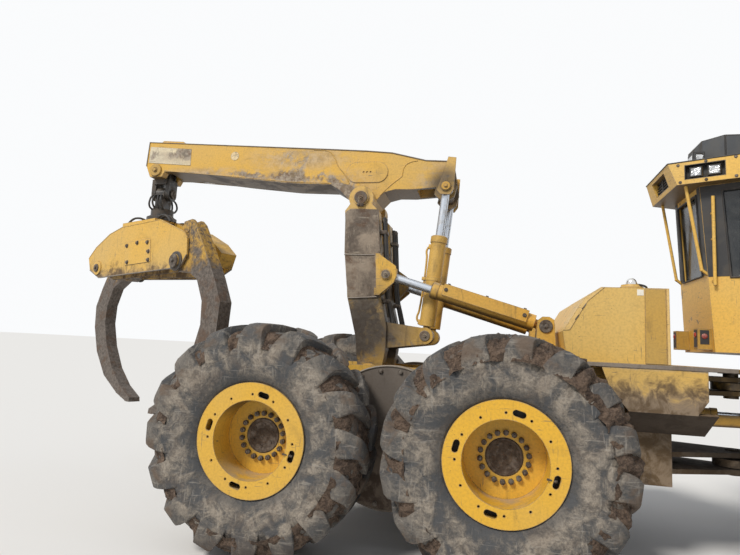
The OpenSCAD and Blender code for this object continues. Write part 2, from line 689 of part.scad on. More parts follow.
module exhaust_stack() color("dimgray") placed() {
    difference() {
        translate([4750, 330, hood_z - 60]) cylinder(h = 516, r = 60);
        side_plate(hood_shape, hood_half * 2);
    }
    translate([4750, 330, hood_z + 456]) cylinder(h = 160, r = 45);
}

// Cab

flare_x = 3585;
cab_plan = [
    [cab_rear_x, -cab_rear_half], [flare_x, -cab_half], [cab_front_x, -cab_half],
    [cab_front_x, cab_half], [flare_x, cab_half], [cab_rear_x, cab_rear_half],
];
flare_angle = atan2(cab_half - cab_rear_half, flare_x - cab_rear_x);
flare_len = norm([cab_half - cab_rear_half, flare_x - cab_rear_x]);
door_x = [3640, 4320];
door_z = [floor_z + 80, eaves_z - 68];

// The rear wall leans, so its place depends on the height
function rear_at(z) = cab_rear_x + rear_lean * (eaves_z - z) / (eaves_z - floor_z);

module behind_rear_wall(inset, to_x) side_plate([
    [rear_at(floor_z - 100) + inset, floor_z - 100], [rear_at(eaves_z) + inset, eaves_z],
    [to_x, eaves_z], [to_x, floor_z - 100],
], 2000);

// The cab's body, or what is left of it that far inside its walls
module cab_block(inset) intersection() {
    translate([0, 0, floor_z]) linear_extrude(eaves_z - floor_z) offset(delta = -inset) polygon(cab_plan);
    behind_rear_wall(inset, cab_front_x + 100);
}

module flare_box(from, to) both_sides() translate([cab_rear_x, cab_rear_half, 0])
    rotate([0, 0, flare_angle]) box(from, to);

module cab_windows() {
    box([cab_rear_x - 60, -250, sill_z + 30], [cab_rear_x + 160, 250, eaves_z - 60]);
    box([cab_front_x - 80, -740, sill_z - 200], [cab_front_x + 20, 740, eaves_z - 70]);
    intersection() {
        flare_box([60, -90, sill_z], [flare_len - 70, 30, eaves_z - 60]);
        behind_rear_wall(150, cab_front_x);
    }
}

module cab_shell() color("goldenrod") placed() {
    both_sides() cab_hinges();
    difference() {
        cab_block(0);
        difference() {
            cab_block(wall_t);
            box([cab_rear_x, -cab_half, floor_z - 1], [cab_front_x, cab_half, floor_z + 40]);
        }
        cab_windows();
        both_sides() box([door_x[0], cab_half - 80, door_z[0]], [door_x[1], cab_half + 20, door_z[1]]);
    }
}

module cab_glass() color("slategray") placed() intersection() {
    difference() {
        cab_block(18);
        cab_block(28);
    }
    cab_windows();
}

// Roof, its rear edge cut back below, with a grille and two lamp recesses let into its edge
roof_flare_x = 3400;
roof_rear_half = 350;
roof_angle = atan2(cab_half - roof_rear_half, roof_flare_x - roof_rear_x);
roof_recess = 60;

module on_roof_flare() both_sides() translate([roof_rear_x, roof_rear_half, eaves_z])
    rotate([0, 0, roof_angle]) children();

module cab_roof() color("goldenrod") placed() difference() {
    intersection() {
        translate([0, 0, eaves_z]) linear_extrude(roof_t) polygon([
            [roof_rear_x, -roof_rear_half], [roof_flare_x, -cab_half], [4480, -cab_half],
            [4480, cab_half], [roof_flare_x, cab_half], [roof_rear_x, roof_rear_half],
        ]);
        side_plate([
            [roof_rear_x, eaves_z + roof_t], [roof_rear_x + 67, eaves_z],
            [4480, eaves_z], [4480, eaves_z + roof_t],
        ], 2000);
    }
    box([roof_rear_x - 10, -190, eaves_z + 40], [roof_rear_x + 40 + roof_recess, 190, eaves_z + 170]);
    on_roof_flare() box([135, -roof_recess, 40], [445, 20, 172]);
}

// Housing of the air unit on the roof, its rear corners cut off, and a lamp box behind it
module roof_unit() color("dimgray") placed() {
    translate([0, 0, eaves_z + roof_t]) linear_extrude(270) polygon([
        [2700, -180], [2840, -330], [4150, -330], [4150, 330], [2840, 330], [2700, 180],
    ]);
    both_sides() box([2590, 150, eaves_z + roof_t], [2690, 290, eaves_z + roof_t + 130]);
}

// A round bar between two points
module bar(p, q, r) {
    d = q - p;
    translate(p) rotate([0, acos(d[2] / norm(d)), atan2(d[1], d[0])]) cylinder(h = norm(d), r = r, $fn = 24);
}

// Two bent bars from the roof down to the rear wall, and a rail on clips at each rear corner
module rear_bars() color("goldenrod") placed() both_sides() {
    bend = [2622, cab_rear_half + 10, sill_z + 70];
    intersection() {
        union() {
            bar([2500, bend[1], eaves_z + 40], bend, 14);
            translate(bend) sphere(r = 16, $fn = 24);
            bar(bend, [2720, bend[1], sill_z - 10], 14);
        }
        side_plate([
            [2400, sill_z - 100], [rear_at(sill_z - 100), sill_z - 100],
            [rear_at(eaves_z), eaves_z], [2400, eaves_z],
        ], 2000);
    }
    rail_x = rear_at(sill_z - 70) + 30;
    bar([rail_x, cab_rear_half + 82, sill_z - 70], [rail_x, cab_rear_half + 82, eaves_z - 110], 14);
    for (z = [sill_z - 40, sill_z + 330, sill_z + 560]) difference() {
        box([rail_x - 9, cab_rear_half - 40, z], [rail_x + 9, cab_rear_half + 82, z + 18]);
        cab_block(0);
    }
}

hinge_x = door_x[0] + 6;
hinge_y = cab_half + 16;
hinge_rows = [door_z[0] + 160, door_z[1] - 260];

// Pins and knuckles on the cab, above and below those of the door
module cab_hinges() for (z = hinge_rows) {
    translate([hinge_x, hinge_y, z - 40]) cylinder(h = 180, r = 8);
    for (dz = [-40, 100.5]) {
        translate([hinge_x, hinge_y, z + dz]) cylinder(h = 39.5, r = 16);
        box([hinge_x - 60, cab_half, z + dz], [hinge_x, hinge_y, z + dz + 39.5]);
    }
}

module door() {
    difference() {
        union() {
            box([hinge_x, cab_half - wall_t, door_z[0] + 6], [door_x[1] - 6, cab_half, door_z[1] - 6]);
            for (z = hinge_rows) {
                translate([hinge_x, hinge_y, z]) cylinder(h = 100, r = 16);
                box([hinge_x, cab_half, z], [hinge_x + 70, hinge_y, z + 100]);
            }
        }
        box([door_x[0] + 90, cab_half - 90, sill_z - 60], [door_x[1] - 90, cab_half + 9, door_z[1] - 90]);
        for (z = hinge_rows) translate([hinge_x, hinge_y, z - 1]) cylinder(h = 102, r = 8 + run_gap);
    }
    box([door_x[0] + 80, cab_half - 30, sill_z - 70], [door_x[1] - 80, cab_half - 20, door_z[1] - 80]);
}
module door_right() color("goldenrod") placed() mirror([0, 1, 0]) door();
module door_left() color("goldenrod") placed() door();

module seat() color("dimgray") placed() {
    box([3500, -260, floor_z + 40], [3850, 260, floor_z + 340]);
    box([3420, -260, floor_z + 340], [3950, 260, floor_z + 470]);
    box([3380, -260, floor_z + 420], [3500, 260, floor_z + 1100]);
    both_sides() box([3500, 260, floor_z + 470], [4000, 400, floor_z + 640]);
}

module cab_rails() color("goldenrod") placed() both_sides() {
    for (z = [900, 1180, 1450]) box([3380, 620, z], [3700, 850, z + 30]);
    for (x = [3380, 3680]) box([x, 600, 890], [x + 20, 620, 1500]);
    box([3380, hood_half, 1482], [3700, 640, 1508]);
}

module lamps() color("white") placed() both_sides() {
    side_plate([
        [2580, floor_z + 20], [rear_at(floor_z + 20), floor_z + 20],
        [rear_at(floor_z + 200), floor_z + 200], [2580, floor_z + 200],
    ], 90, cab_rear_half - 50);
    translate([roof_rear_x, roof_rear_half, eaves_z]) rotate([0, 0, roof_angle])
        for (u = [170, 310]) box([u, -roof_recess, 60], [u + 100, -20, 152]);
    side_plate([
        [5440, hood_top(5440) + 0.5], [5540, hood_top(5540) + 0.5], [5540, hood_z + 20],
            [5460, hood_z + 20],
    ], 120, 360);
}

// Blade

module blade() color("goldenrod") placed() {
    side_plate([
        [5985, 215], [5900, 500], [5885, 750], [5920, 1000], [5985, 1150], [6025, 1135],
        [5962, 990], [5928, 750], [5942, 510], [6030, 235],
    ], blade_w);
    both_sides() difference() {
        side_plate([
            [blade_x - 60, blade_z - 85], [blade_x - 85, blade_z + 20], [blade_x - 40, blade_z + 90],
            [5750, 900], [5925, 980], [5925, 420], [5700, 500],
        ], 60, 460);
        cross_pin([blade_x, blade_z], 50 + run_gap, 80, 460);
    }
    both_sides() {
        for (y = [205, 295]) side_plate([
            [5900, 1110], [5935, 1110], [5935, 900], [5900, 900], [5815, 945], [5790, 1000], [5800, 1055], [5850, 1075],
        ], 24, y);
        for (y = [186, 314]) cross_pin(blade_eye, 34, 16, y);
    }
}

module blade_barrels() color("darkorange") placed() both_sides()
    along(blade_base, blade_eye, 250) barrel(530, 58, 68, 66, 35, 24);
module blade_rods() color("lightsteelblue") placed() both_sides()
    along(blade_base, blade_eye, 250) rod(span(blade_base, blade_eye), 440, 24, 50, 50, 30, -25, 25);

// Steering cylinders

module steer_place() translate([steer_base[0], steer_base[1], steer_z])
    rotate([0, 0, 90 + atan2(steer_eye[1] - steer_base[1], steer_eye[0] - steer_base[0])])
        rotate([90, 0, 0]) children();
module steer_barrel() steer_place() barrel(575, 50, 55, 50, 28, 24);
module steer_rod() steer_place() rod(span(steer_base, steer_eye), 575, 24, 44, 50, 28, -25, 25);
module steer_barrel_left() color("darkorange") placed() steer_barrel();
module steer_rod_left() color("lightsteelblue") placed() steer_rod();
module steer_barrel_right() color("darkorange") placed() mirror([0, 1, 0]) steer_barrel();
module steer_rod_right() color("lightsteelblue") placed() mirror([0, 1, 0]) steer_rod();

rear_frame();
rear_deck();
fuel_tank();
fuel_cap();
bogie_axle();
bogie_beams();
tow_eye();
tyre_rear_right();
tyre_rear_left();
tyre_mid_right();
tyre_mid_left();
tyre_front_right();
tyre_front_left();
rim_rear_right();
rim_rear_left();
rim_mid_right();
rim_mid_left();
rim_front_right();
rim_front_left();
arch();
arch_barrels();
arch_rods();
boom_arm();
boom_barrels();
boom_rods();
yoke();
swing_block();
rotator();
grapple_head();
tong_right();
tong_left();
grip_barrel_right();
grip_rod_right();
grip_barrel_left();
grip_rod_left();
front_frame();
front_axle();
hood();
grilles();
engine_block();
exhaust_stack();
cab_shell();
cab_roof();
roof_unit();
rear_bars();
cab_glass();
seat();
cab_rails();
lamps();
door_right();
door_left();
blade();
blade_barrels();
blade_rods();
steer_barrel_right();
steer_rod_right();
steer_barrel_left();
steer_rod_left();
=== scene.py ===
# Six-wheel grapple skidder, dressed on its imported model. Metres, +X forward, +Y to its left, +Z up.
import math

import bpy
from mathutils import Matrix, Vector


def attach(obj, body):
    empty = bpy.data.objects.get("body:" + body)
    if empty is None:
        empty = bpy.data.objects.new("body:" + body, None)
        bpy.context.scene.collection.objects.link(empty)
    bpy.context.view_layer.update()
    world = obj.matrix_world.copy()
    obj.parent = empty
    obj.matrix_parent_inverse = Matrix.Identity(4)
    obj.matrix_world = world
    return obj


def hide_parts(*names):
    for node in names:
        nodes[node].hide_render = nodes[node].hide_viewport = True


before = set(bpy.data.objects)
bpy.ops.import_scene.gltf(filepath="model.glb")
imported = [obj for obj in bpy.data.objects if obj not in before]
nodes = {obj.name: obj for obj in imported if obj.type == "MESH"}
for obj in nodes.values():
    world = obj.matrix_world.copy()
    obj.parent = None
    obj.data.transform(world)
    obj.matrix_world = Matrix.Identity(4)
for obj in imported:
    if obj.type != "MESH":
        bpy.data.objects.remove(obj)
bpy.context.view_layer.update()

# Both frames, the deck and the fuel tank.
# Welded plate, sprayed construction yellow. It has faded, and the paint has worn away wherever
# something rubs. Mud dries on whatever stands low. Caps and covers are bolted on.
bogie_x = -0.890
from_bogie = Matrix.Translation((bogie_x, 0, 0))
paint_yellow = (0.70, 0.405, 0.055)
paint_faded = (0.62, 0.395, 0.105)
bare_grey = (0.120, 0.098, 0.080)
bare_light = (0.300, 0.255, 0.205)
rust_brown = (0.105, 0.048, 0.020)
grime_brown = (0.060, 0.042, 0.030)
dust_tan = (0.36, 0.285, 0.200)
mud_dry = (0.205, 0.158, 0.120)
mud_dark = (0.080, 0.053, 0.036)
# painted shade where parts meet
joint_shade_black = (0.030, 0.022, 0.016)
# painted shade on faces that look down
underside_shade_black = (0.042, 0.030, 0.022)
scour_dark = (0.190, 0.150, 0.120)
scour_light = (0.46, 0.36, 0.25)


class Wire:
    """A socket in a finish, so that its shading sums read as plain arithmetic."""

    def __init__(self, finish, socket):
        self.finish = finish
        self.socket = socket

    def sum(self, operation, first, second):
        return self.finish.node("ShaderNodeMath", {"operation": operation}, {0: first, 1: second})

    def __add__(self, other):
        return self.sum("ADD", self, other)

    def __radd__(self, other):
        return self.sum("ADD", other, self)

    def __sub__(self, other):
        return self.sum("SUBTRACT", self, other)

    def __rsub__(self, other):
        return self.sum("SUBTRACT", other, self)

    def __mul__(self, other):
        return self.sum("MULTIPLY", self, other)

    def __rmul__(self, other):
        return self.sum("MULTIPLY", other, self)

    def __or__(self, other):
        return self.sum("MAXIMUM", self, other)


class Finish:
    """A material under construction."""

    def __init__(self, name):
        self.material = bpy.data.materials.new(name)
        self.material.use_nodes = True
        self.tree = self.material.node_tree
        self.tree.nodes.clear()
        self.shader = self.tree.nodes.new("ShaderNodeBsdfPrincipled")
        out = self.tree.nodes.new("ShaderNodeOutputMaterial")
        self.tree.links.new(self.shader.outputs[0], out.inputs[0])
        self.place = self.node("ShaderNodeTexCoord", {}, {}, "Object")

    def node(self, kind, settings, sockets, output=0):
        made = self.tree.nodes.new(kind)
        for key, value in settings.items():
            setattr(made, key, value)
        for key, value in sockets.items():
            if isinstance(value, Wire):
                self.tree.links.new(value.socket, made.inputs[key])
            elif isinstance(value, tuple) and made.inputs[key].type == "RGBA":
                made.inputs[key].default_value = (*value, 1)
            else:
                made.inputs[key].default_value = value
        return Wire(self, made.outputs[output])

    def moved(self, shift, stretch=(1, 1, 1), turn=(0, 0, 0)):
        return self.node("ShaderNodeMapping", {}, {
            "Vector": self.place, "Location": shift, "Rotation": turn, "Scale": stretch,
        })

    def cloud(self, scale, detail=4.0, at=None, warp=0.0, rough=0.55):
        return self.node("ShaderNodeTexNoise", {}, {
            "Vector": at or self.place, "Scale": scale, "Detail": detail, "Distortion": warp,
            "Roughness": rough,
        })

    def cells(self, scale, at=None):
        return self.node("ShaderNodeTexVoronoi", {}, {"Vector": at or self.place, "Scale": scale}, "Distance")

    def between(self, value, low, high):
        return self.node("ShaderNodeMapRange", {"interpolation_type": "SMOOTHSTEP"}, {
            "Value": value, "From Min": low, "From Max": high, "To Min": 0.0, "To Max": 1.0,
        })

    def blend(self, share, first, second):
        """first where share is 0, second where it is 1"""
        made = self.tree.nodes.new("ShaderNodeMix")
        made.data_type = "RGBA"
        for index, value in ((0, share), (6, first), (7, second)):
            if isinstance(value, Wire):
                self.tree.links.new(value.socket, made.inputs[index])
            elif index == 0:
                made.inputs[index].default_value = value
            else:
                made.inputs[index].default_value = (*value, 1)
        return Wire(self, made.outputs[2])

    def edges(self, radius):
        """1 at convex edges, where paint chips first"""
        rounded = self.node("ShaderNodeBevel", {"samples": 4}, {"Radius": radius}, "Normal")
        flat = self.node("ShaderNodeNewGeometry", {}, {}, "Normal")
        same = self.node("ShaderNodeVectorMath", {"operation": "DOT_PRODUCT"}, {0: rounded, 1: flat}, "Value")
        return self.between(1.0 - same, 0.02, 0.22)

    def upward(self):
        normal = self.node("ShaderNodeNewGeometry", {}, {}, "Normal")
        return self.node("ShaderNodeSeparateXYZ", {}, {0: normal}, "Z")

    def height(self):
        return self.node("ShaderNodeSeparateXYZ", {}, {0: self.place}, "Z")

    def near(self, centre, size, soft=0.5):
        """1 inside an ellipsoid given by its middle, measured from the bogie pivot, and its half sizes"""
        middle = Vector(centre) + from_bogie.translation
        stretch = [1 / s for s in size]
        shift = [-m * s for m, s in zip(middle, stretch)]
        away = self.node("ShaderNodeVectorMath", {"operation": "LENGTH"},
                         {0: self.moved(shift, stretch)}, "Value")
        return self.between(away, 1.0 + soft, 1.0 - soft)

    def close(self, colour, roughness, bump=None, depth=0.002, metal=None, **fixed):
        for socket, value in (("Base Color", colour), ("Roughness", roughness), ("Metallic", metal)):
            if isinstance(value, Wire):
                self.tree.links.new(value.socket, self.shader.inputs[socket])
            elif value is not None:
                self.shader.inputs[socket].default_value = (*value, 1) if isinstance(value, tuple) else value
        if bump is not None:
            raised = self.node("ShaderNodeBump", {}, {"Height": bump, "Distance": depth, "Strength": 0.9})
            self.tree.links.new(raised.socket, self.shader.inputs["Normal"])
        for socket, value in fixed.items():
            self.shader.inputs[socket.replace("_", " ")].default_value = value
        return self.material


def weathered(name, paint=paint_yellow, faded=paint_faded, worn=0.5, grime=0.5, mud_top=0.0, seed=0.0,
              streak=(5, 5, 0.9), scoured=(), shaded_joints=()):
    """Sprayed paint on plate: fading, chips, scratches, grime, scoured places, mud low down, and painted
    shade where parts meet and on faces that look down
    """
    f = Finish(name)
    at = f.moved((seed * 3.1, seed * 1.7, seed * 2.3))
    sun = f.between(f.cloud(0.9, 3, at), 0.35, 0.7)
    grain = f.cloud(55, 3, at)
    colour = f.blend(sun, paint, faded)
    colour = f.blend(f.between(grain, 0.35, 0.75) * 0.18, colour, grime_brown)
    # rubbed patches, edge chips and scratches
    patch = f.cloud(2.3, 9, at, 0.6, 0.62)
    fine = f.cloud(14, 6, at, 0.3, 0.7)
    rub = patch + fine * 0.35
    haze = None
    for centre, size in scoured:
        place = f.near(centre, size, 0.9)
        rub = rub + place * 0.26
        haze = place if haze is None else haze | place
    rubbed = f.between(rub, 0.98 - 0.22 * worn, 1.06 - 0.20 * worn)
    chip = f.between(f.edges(0.012) * (fine + 0.35), 0.42, 0.62)
    hair = f.cloud(9, 3, f.moved((seed, 2, 5), (1, 1, 14), (0.5, 0.35, 0.2)), 0.2)
    hair_two = f.cloud(7, 3, f.moved((seed + 4, 1, 2), (16, 1, 1), (0.2, 0.5, 0.9)), 0.2)
    scratch = f.between(hair, 0.655, 0.68) | f.between(hair_two, 0.66, 0.685)
    scratch = scratch * f.between(patch, 0.40, 0.58)
    if haze is not None:
        dragged = f.cloud(4, 9, f.moved((seed, 3, 1), (0.6, 1, 2.2), (0, 0.3, 0)), 0.5, 0.66)
        haze = haze * f.between(dragged * 0.6 + fine * 0.4, 0.38, 0.54)
        colour = f.blend(haze * 0.80, colour, f.blend(f.between(fine, 0.38, 0.60), scour_dark, scour_light))
    bare = rubbed | chip
    colour = f.blend(f.between(fine, 0.4, 0.62) * rubbed * 0.45, colour, dust_tan)
    colour = f.blend(bare * 0.88, colour, f.blend(f.between(fine, 0.42, 0.60), bare_grey, bare_light))
    colour = f.blend(bare * f.between(f.cloud(21, 4, at), 0.5, 0.66) * 0.6, colour, rust_brown)
    colour = f.blend(scratch * 0.75, colour, bare_grey)
    # pitting: small dark nicks all over
    nick = 1.0 - f.between(f.cells(38, at), 0.05, 0.13)
    nick = nick * f.between(f.cloud(5, 4, at), 0.48, 0.58)
    colour = f.blend(nick * 0.75, colour, rust_brown)
    # oily grime in runs and clouds, dust on top faces, mud low down
    run = f.between(f.cloud(3, 6, f.moved((seed, seed, 0), streak), 0.4), 0.62 - 0.14 * grime,
                    0.86 - 0.14 * grime)
    cloudy = f.cloud(1.7, 8, at, 0.8, 0.6)
    # places of painted shade where parts meet
    joint_shade = None
    for centre, size in shaded_joints:
        place = f.near(centre, size)
        joint_shade = place if joint_shade is None else joint_shade | place
    soot = f.between(cloudy, 0.60 - 0.10 * grime, 0.82 - 0.10 * grime)
    colour = f.blend((run | soot) * (0.25 + 0.50 * grime), colour, grime_brown)
    dust = f.between(f.upward(), 0.35, 0.95) * f.between(f.cloud(6, 6, at), 0.34, 0.62)
    colour = f.blend(dust * 0.75, colour, dust_tan)
    caked = f.cloud(7, 9, at, 0.5, 0.68)
    low = f.between(f.height() + (caked - 0.5) * 0.7, mud_top + 0.09, mud_top - 0.13)
    colour = f.blend(low * 0.92, colour, f.blend(f.between(caked, 0.42, 0.58), mud_dark, mud_dry))
    # painted shade at those places
    if joint_shade is not None:
        colour = f.blend(joint_shade * f.between(cloudy + fine * 0.3, 0.42, 0.58) * 0.9, colour, joint_shade_black)
    # underneath: painted shade, dark on the faces that look down
    below = f.between(f.upward(), -0.3, -0.9)
    colour = f.blend(below * 0.85, colour, underside_shade_black)
    rough = 0.42 + bare * 0.12 + dust * 0.3 + low * 0.4 + grain * 0.12
    relief = caked * low * 1.2 - bare * 0.16 - nick * 0.3 + grain * 0.10 + dust * fine * 0.25
    return f.close(colour, rough, relief, 0.006, bare * 0.35 * (1.0 - low))


def steel_finish(name="bolt_steel", dark=(0.085, 0.070, 0.058), light=(0.215, 0.185, 0.155)):
    f = Finish(name)
    worn = f.cloud(40, 5)
    caked = f.between(f.cloud(16, 5), 0.40, 0.60)
    colour = f.blend(f.between(worn, 0.3, 0.7), dark, light)
    colour = f.blend(caked * 0.55, colour, mud_dark)
    return f.close(colour, 0.55 + caked * 0.3, worn * 0.4 + caked * 0.4, 0.002, 0.45)


def dress(material, *names):
    """Gives CAD nodes a finish"""
    for name in names:
        slots = nodes[name].data.materials
        slots.clear()
        slots.append(material)


def wipe():
    """Nothing selected, object mode"""
    if bpy.context.object and bpy.context.object.mode != "OBJECT":
        bpy.ops.object.mode_set(mode="OBJECT")
    bpy.ops.object.select_all(action="DESELECT")


def hold(piece):
    wipe()
    piece.select_set(True)
    bpy.context.view_layer.objects.active = piece


def apply_all(piece):
    hold(piece)
    for modifier in list(piece.modifiers):
        bpy.ops.object.modifier_apply(modifier=modifier.name)


def joined(name, pieces):
    wipe()
    for piece in pieces:
        piece.select_set(True)
    bpy.context.view_layer.objects.active = pieces[0]
    if len(pieces) > 1:
        bpy.ops.object.join()
    pieces[0].name = name
    return pieces[0]


def placed(piece, matrix):
    """Turns and moves a piece's mesh, and leaves its object at the origin"""
    piece.data.transform(matrix)
    if matrix.determinant() < 0:
        piece.data.flip_normals()
    return piece


def copied(piece, name, matrix):
    twin = piece.copy()
    twin.data = piece.data.copy()
    twin.name = name
    bpy.context.scene.collection.objects.link(twin)
    return placed(twin, matrix)


def both_sides(piece):
    """The piece with its mirror image on the machine's other side"""
    twin = copied(piece, piece.name + "_twin", Matrix.Scale(-1, 4, (0, 1, 0)))
    return joined(piece.name, [piece, twin])


def settle(piece, material, body, slot, *stands_for, smooth=35):
    """The piece's finish, the body that carries it and the nodes it stands for"""
    hold(piece)
    if smooth:
        bpy.ops.object.shade_smooth_by_angle(angle=math.radians(smooth))
    apply_all(piece)
    piece.data.materials.clear()
    piece.data.materials.append(material)
    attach(piece, body)
    if stands_for:
        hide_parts(*stands_for)
    return piece


def drawn(points, y=0.0):
    """A line through (x, z) points, drawn by extruding one point; it is left selected in edit mode"""
    wipe()
    bpy.ops.mesh.primitive_plane_add(size=0.01)
    piece = bpy.context.object
    bpy.ops.object.mode_set(mode="EDIT")
    bpy.ops.mesh.select_all(action="SELECT")
    bpy.ops.mesh.merge(type="CENTER")
    bpy.ops.transform.translate(value=(points[0][0], y, points[0][1]))
    for (x, z), (next_x, next_z) in zip(points, points[1:]):
        bpy.ops.mesh.extrude_region_move(TRANSFORM_OT_translate={"value": (next_x - x, 0, next_z - z)})
    bpy.ops.mesh.select_all(action="SELECT")
    return piece


def turned(name, profile, steps=32, cap=False):
    """A turned piece about Z: its (radius, height) profile is drawn, then spun"""
    piece = drawn(profile)
    bpy.ops.mesh.spin(steps=steps, angle=math.tau, center=(0, 0, 0), axis=(0, 0, 1))
    bpy.ops.mesh.select_all(action="SELECT")
    bpy.ops.mesh.remove_doubles(threshold=0.00002)
    if cap:
        bpy.ops.mesh.select_all(action="DESELECT")
        bpy.ops.mesh.select_non_manifold(extend=False)
        bpy.ops.mesh.fill_holes(sides=0)
        bpy.ops.mesh.select_all(action="SELECT")
    bpy.ops.mesh.normals_make_consistent(inside=False)
    bpy.ops.object.mode_set(mode="OBJECT")
    piece.name = name
    return piece


def outlined(name, points, low, high, bevel=0.003):
    """A plate with its outline in X and Z, from Y = low to Y = high, its edges eased"""
    piece = drawn(points, low)
    bpy.ops.mesh.edge_face_add()
    bpy.ops.mesh.extrude_region_move(TRANSFORM_OT_translate={"value": (0, high - low, 0)})
    bpy.ops.mesh.select_all(action="SELECT")
    bpy.ops.mesh.normals_make_consistent(inside=False)
    bpy.ops.mesh.bevel(offset=bevel, segments=1, affect="EDGES")
    bpy.ops.object.mode_set(mode="OBJECT")
    piece.name = name
    return piece


def oblong(left, low, right, high):
    """The corners of an oblong, from its lower left one round"""
    return [(left, low), (right, low), (right, high), (left, high)]


def block(name, low, high, bevel=0.004):
    """A box from corner to corner with eased edges"""
    wipe()
    low, high = Vector(low), Vector(high)
    bpy.ops.mesh.primitive_cube_add(size=1)
    piece = bpy.context.object
    bpy.ops.object.mode_set(mode="EDIT")
    bpy.ops.mesh.select_all(action="SELECT")
    bpy.ops.transform.resize(value=high - low)
    bpy.ops.transform.translate(value=(low + high) / 2)
    bpy.ops.mesh.bevel(offset=bevel, segments=2, affect="EDGES")
    bpy.ops.object.mode_set(mode="OBJECT")
    piece.name = name
    return piece


def tube(name, points, radius, closed=False, handles="AUTO", sides=2):
    """A bar, hose, seal or weld bead through points"""
    line = bpy.data.curves.new(name, "CURVE")
    line.dimensions = "3D"
    line.bevel_depth = radius
    line.bevel_resolution = sides
    line.use_fill_caps = True
    line.resolution_u = 6 if handles == "AUTO" else 1
    route = line.splines.new("BEZIER")
    route.bezier_points.add(len(points) - 1)
    route.use_cyclic_u = closed
    for knot, at in zip(route.bezier_points, points):
        knot.co = at
        knot.handle_left_type = handles
        knot.handle_right_type = handles
    piece = bpy.data.objects.new(name, line)
    bpy.context.scene.collection.objects.link(piece)
    hold(piece)
    bpy.ops.object.convert(target="MESH")
    return bpy.context.object


def around(count, phase=0.0):
    """Angles spaced evenly round a circle"""
    return [math.tau * (i + phase) / count for i in range(count)]


def hex_head(name, across, height, washer=True):
    """A hexagon head standing on its washer, along +Z"""
    wipe()
    bpy.ops.mesh.primitive_cylinder_add(vertices=6, radius=across / 1.732, depth=height)
    head = bpy.context.object
    bpy.ops.object.mode_set(mode="EDIT")
    bpy.ops.mesh.select_all(action="SELECT")
    bpy.ops.transform.translate(value=(0, 0, height / 2))
    bpy.ops.mesh.bevel(offset=across * 0.07, segments=1, affect="EDGES")
    bpy.ops.object.mode_set(mode="OBJECT")
    if not washer:
        head.name = name
        return head
    profile = [(0, 0), (across * 0.80, 0), (across * 0.76, height * 0.22), (0, height * 0.22)]
    return joined(name, [head, turned(name + "_washer", profile, 14)])


def facing(at, normal, spin=0.0):
    """A matrix that puts +Z along a normal, at a place"""
    turn = Vector(normal).to_track_quat("Z", "Y").to_matrix().to_4x4()
    return Matrix.Translation(at) @ turn @ Matrix.Rotation(spin, 4, "Z")


def scattered(name, part, spots):
    """Copies of one small part at (place, normal, spin), joined into one mesh"""
    copies = [copied(part, f"{name}_{i}", facing(*spot)) for i, spot in enumerate(spots)]
    bpy.data.objects.remove(part)
    return joined(name, copies)


def bolted(name, across, spots):
    """Bolt heads at (place, normal)"""
    return scattered(name, hex_head(name + "_seed", across, across * 0.55),
                     [(at, normal, 0.4 * i) for i, (at, normal) in enumerate(spots)])


def pin_cap(name, radius, thick, at, normal, across=0.026):
    """A turned keeper cap on the end of a pin, with a bolt in its middle"""
    profile = [(0, 0), (radius, 0), (radius, thick * 0.7), (radius * 0.93, thick),
               (radius * 0.45, thick), (radius * 0.40, thick * 0.8), (0, thick * 0.8)]
    cap = turned(name, profile)
    head = placed(hex_head(name + "_bolt", across, across * 0.6), Matrix.Translation((0, 0, thick * 0.8)))
    return placed(joined(name, [cap, head]), facing(at, normal))


def fit(piece, material, body, slot="yellow_paint", smooth=35):
    """Settles a piece whose X was measured from the bogie pivot"""
    return settle(placed(piece, from_bogie), material, body, slot, smooth=smooth)


plain_yellow = weathered("cover_paint", worn=0.45, grime=0.40, seed=21.0)
# a darker yellow; on the tank's end it is painted shade
dark_yellow_and_shade = weathered("dark_yellow_and_shade_paint", (0.56, 0.315, 0.045), (0.50, 0.31, 0.075), 0.35, 0.50, 0.0, 22.0)
pale_yellow = weathered("edge_paint_pale", (0.76, 0.50, 0.17), (0.72, 0.52, 0.24), 0.45, 0.25, 0.0, 23.0)
# dark worn steel; along the boom's top edges it is a painted shadow line
worn_plate_and_shadow = weathered("worn_plate_and_shadow", (0.185, 0.150, 0.118), (0.270, 0.225, 0.175), 0.9, 0.75, 0.0, 24.0)
bolt_steel = steel_finish()

# painted shade round the knuckle, between the two frames
knuckle_shade = (((2.95, 0, 1.25), (0.80, 1.0, 0.60)), ((3.6, 0, 1.45), (0.9, 1.0, 0.35)))
# heavy grime and mud on the rear frame: partly dirt, partly painted shade under the deck
dress(weathered("frame_paint", worn=0.7, grime=0.8, mud_top=1.20, seed=1.0, shaded_joints=knuckle_shade), "rear_frame",
      "bogie_axle", "tow_eye")
dress(weathered("front_frame_paint", worn=0.6, grime=0.7, mud_top=1.10, seed=2.0, shaded_joints=knuckle_shade),
      "front_frame", "front_axle")
deck_edge = ((2.05, -0.85, 1.603), (0.9, 0.05, 0.022)), ((2.05, 0.85, 1.603), (0.9, 0.05, 0.022))
dress(weathered("deck_paint", worn=0.45, grime=0.35, mud_top=1.47, seed=3.0, scoured=deck_edge), "rear_deck")
dress(weathered("tank_paint", (0.72, 0.43, 0.085), (0.68, 0.45, 0.135), 0.26, 0.22, 0.9, 4.0), "fuel_tank")
dress(weathered("beam_paint", (0.115, 0.095, 0.078), (0.170, 0.140, 0.112), 0.6, 0.5, 1.0, 5.0),
      "bogie_beams")

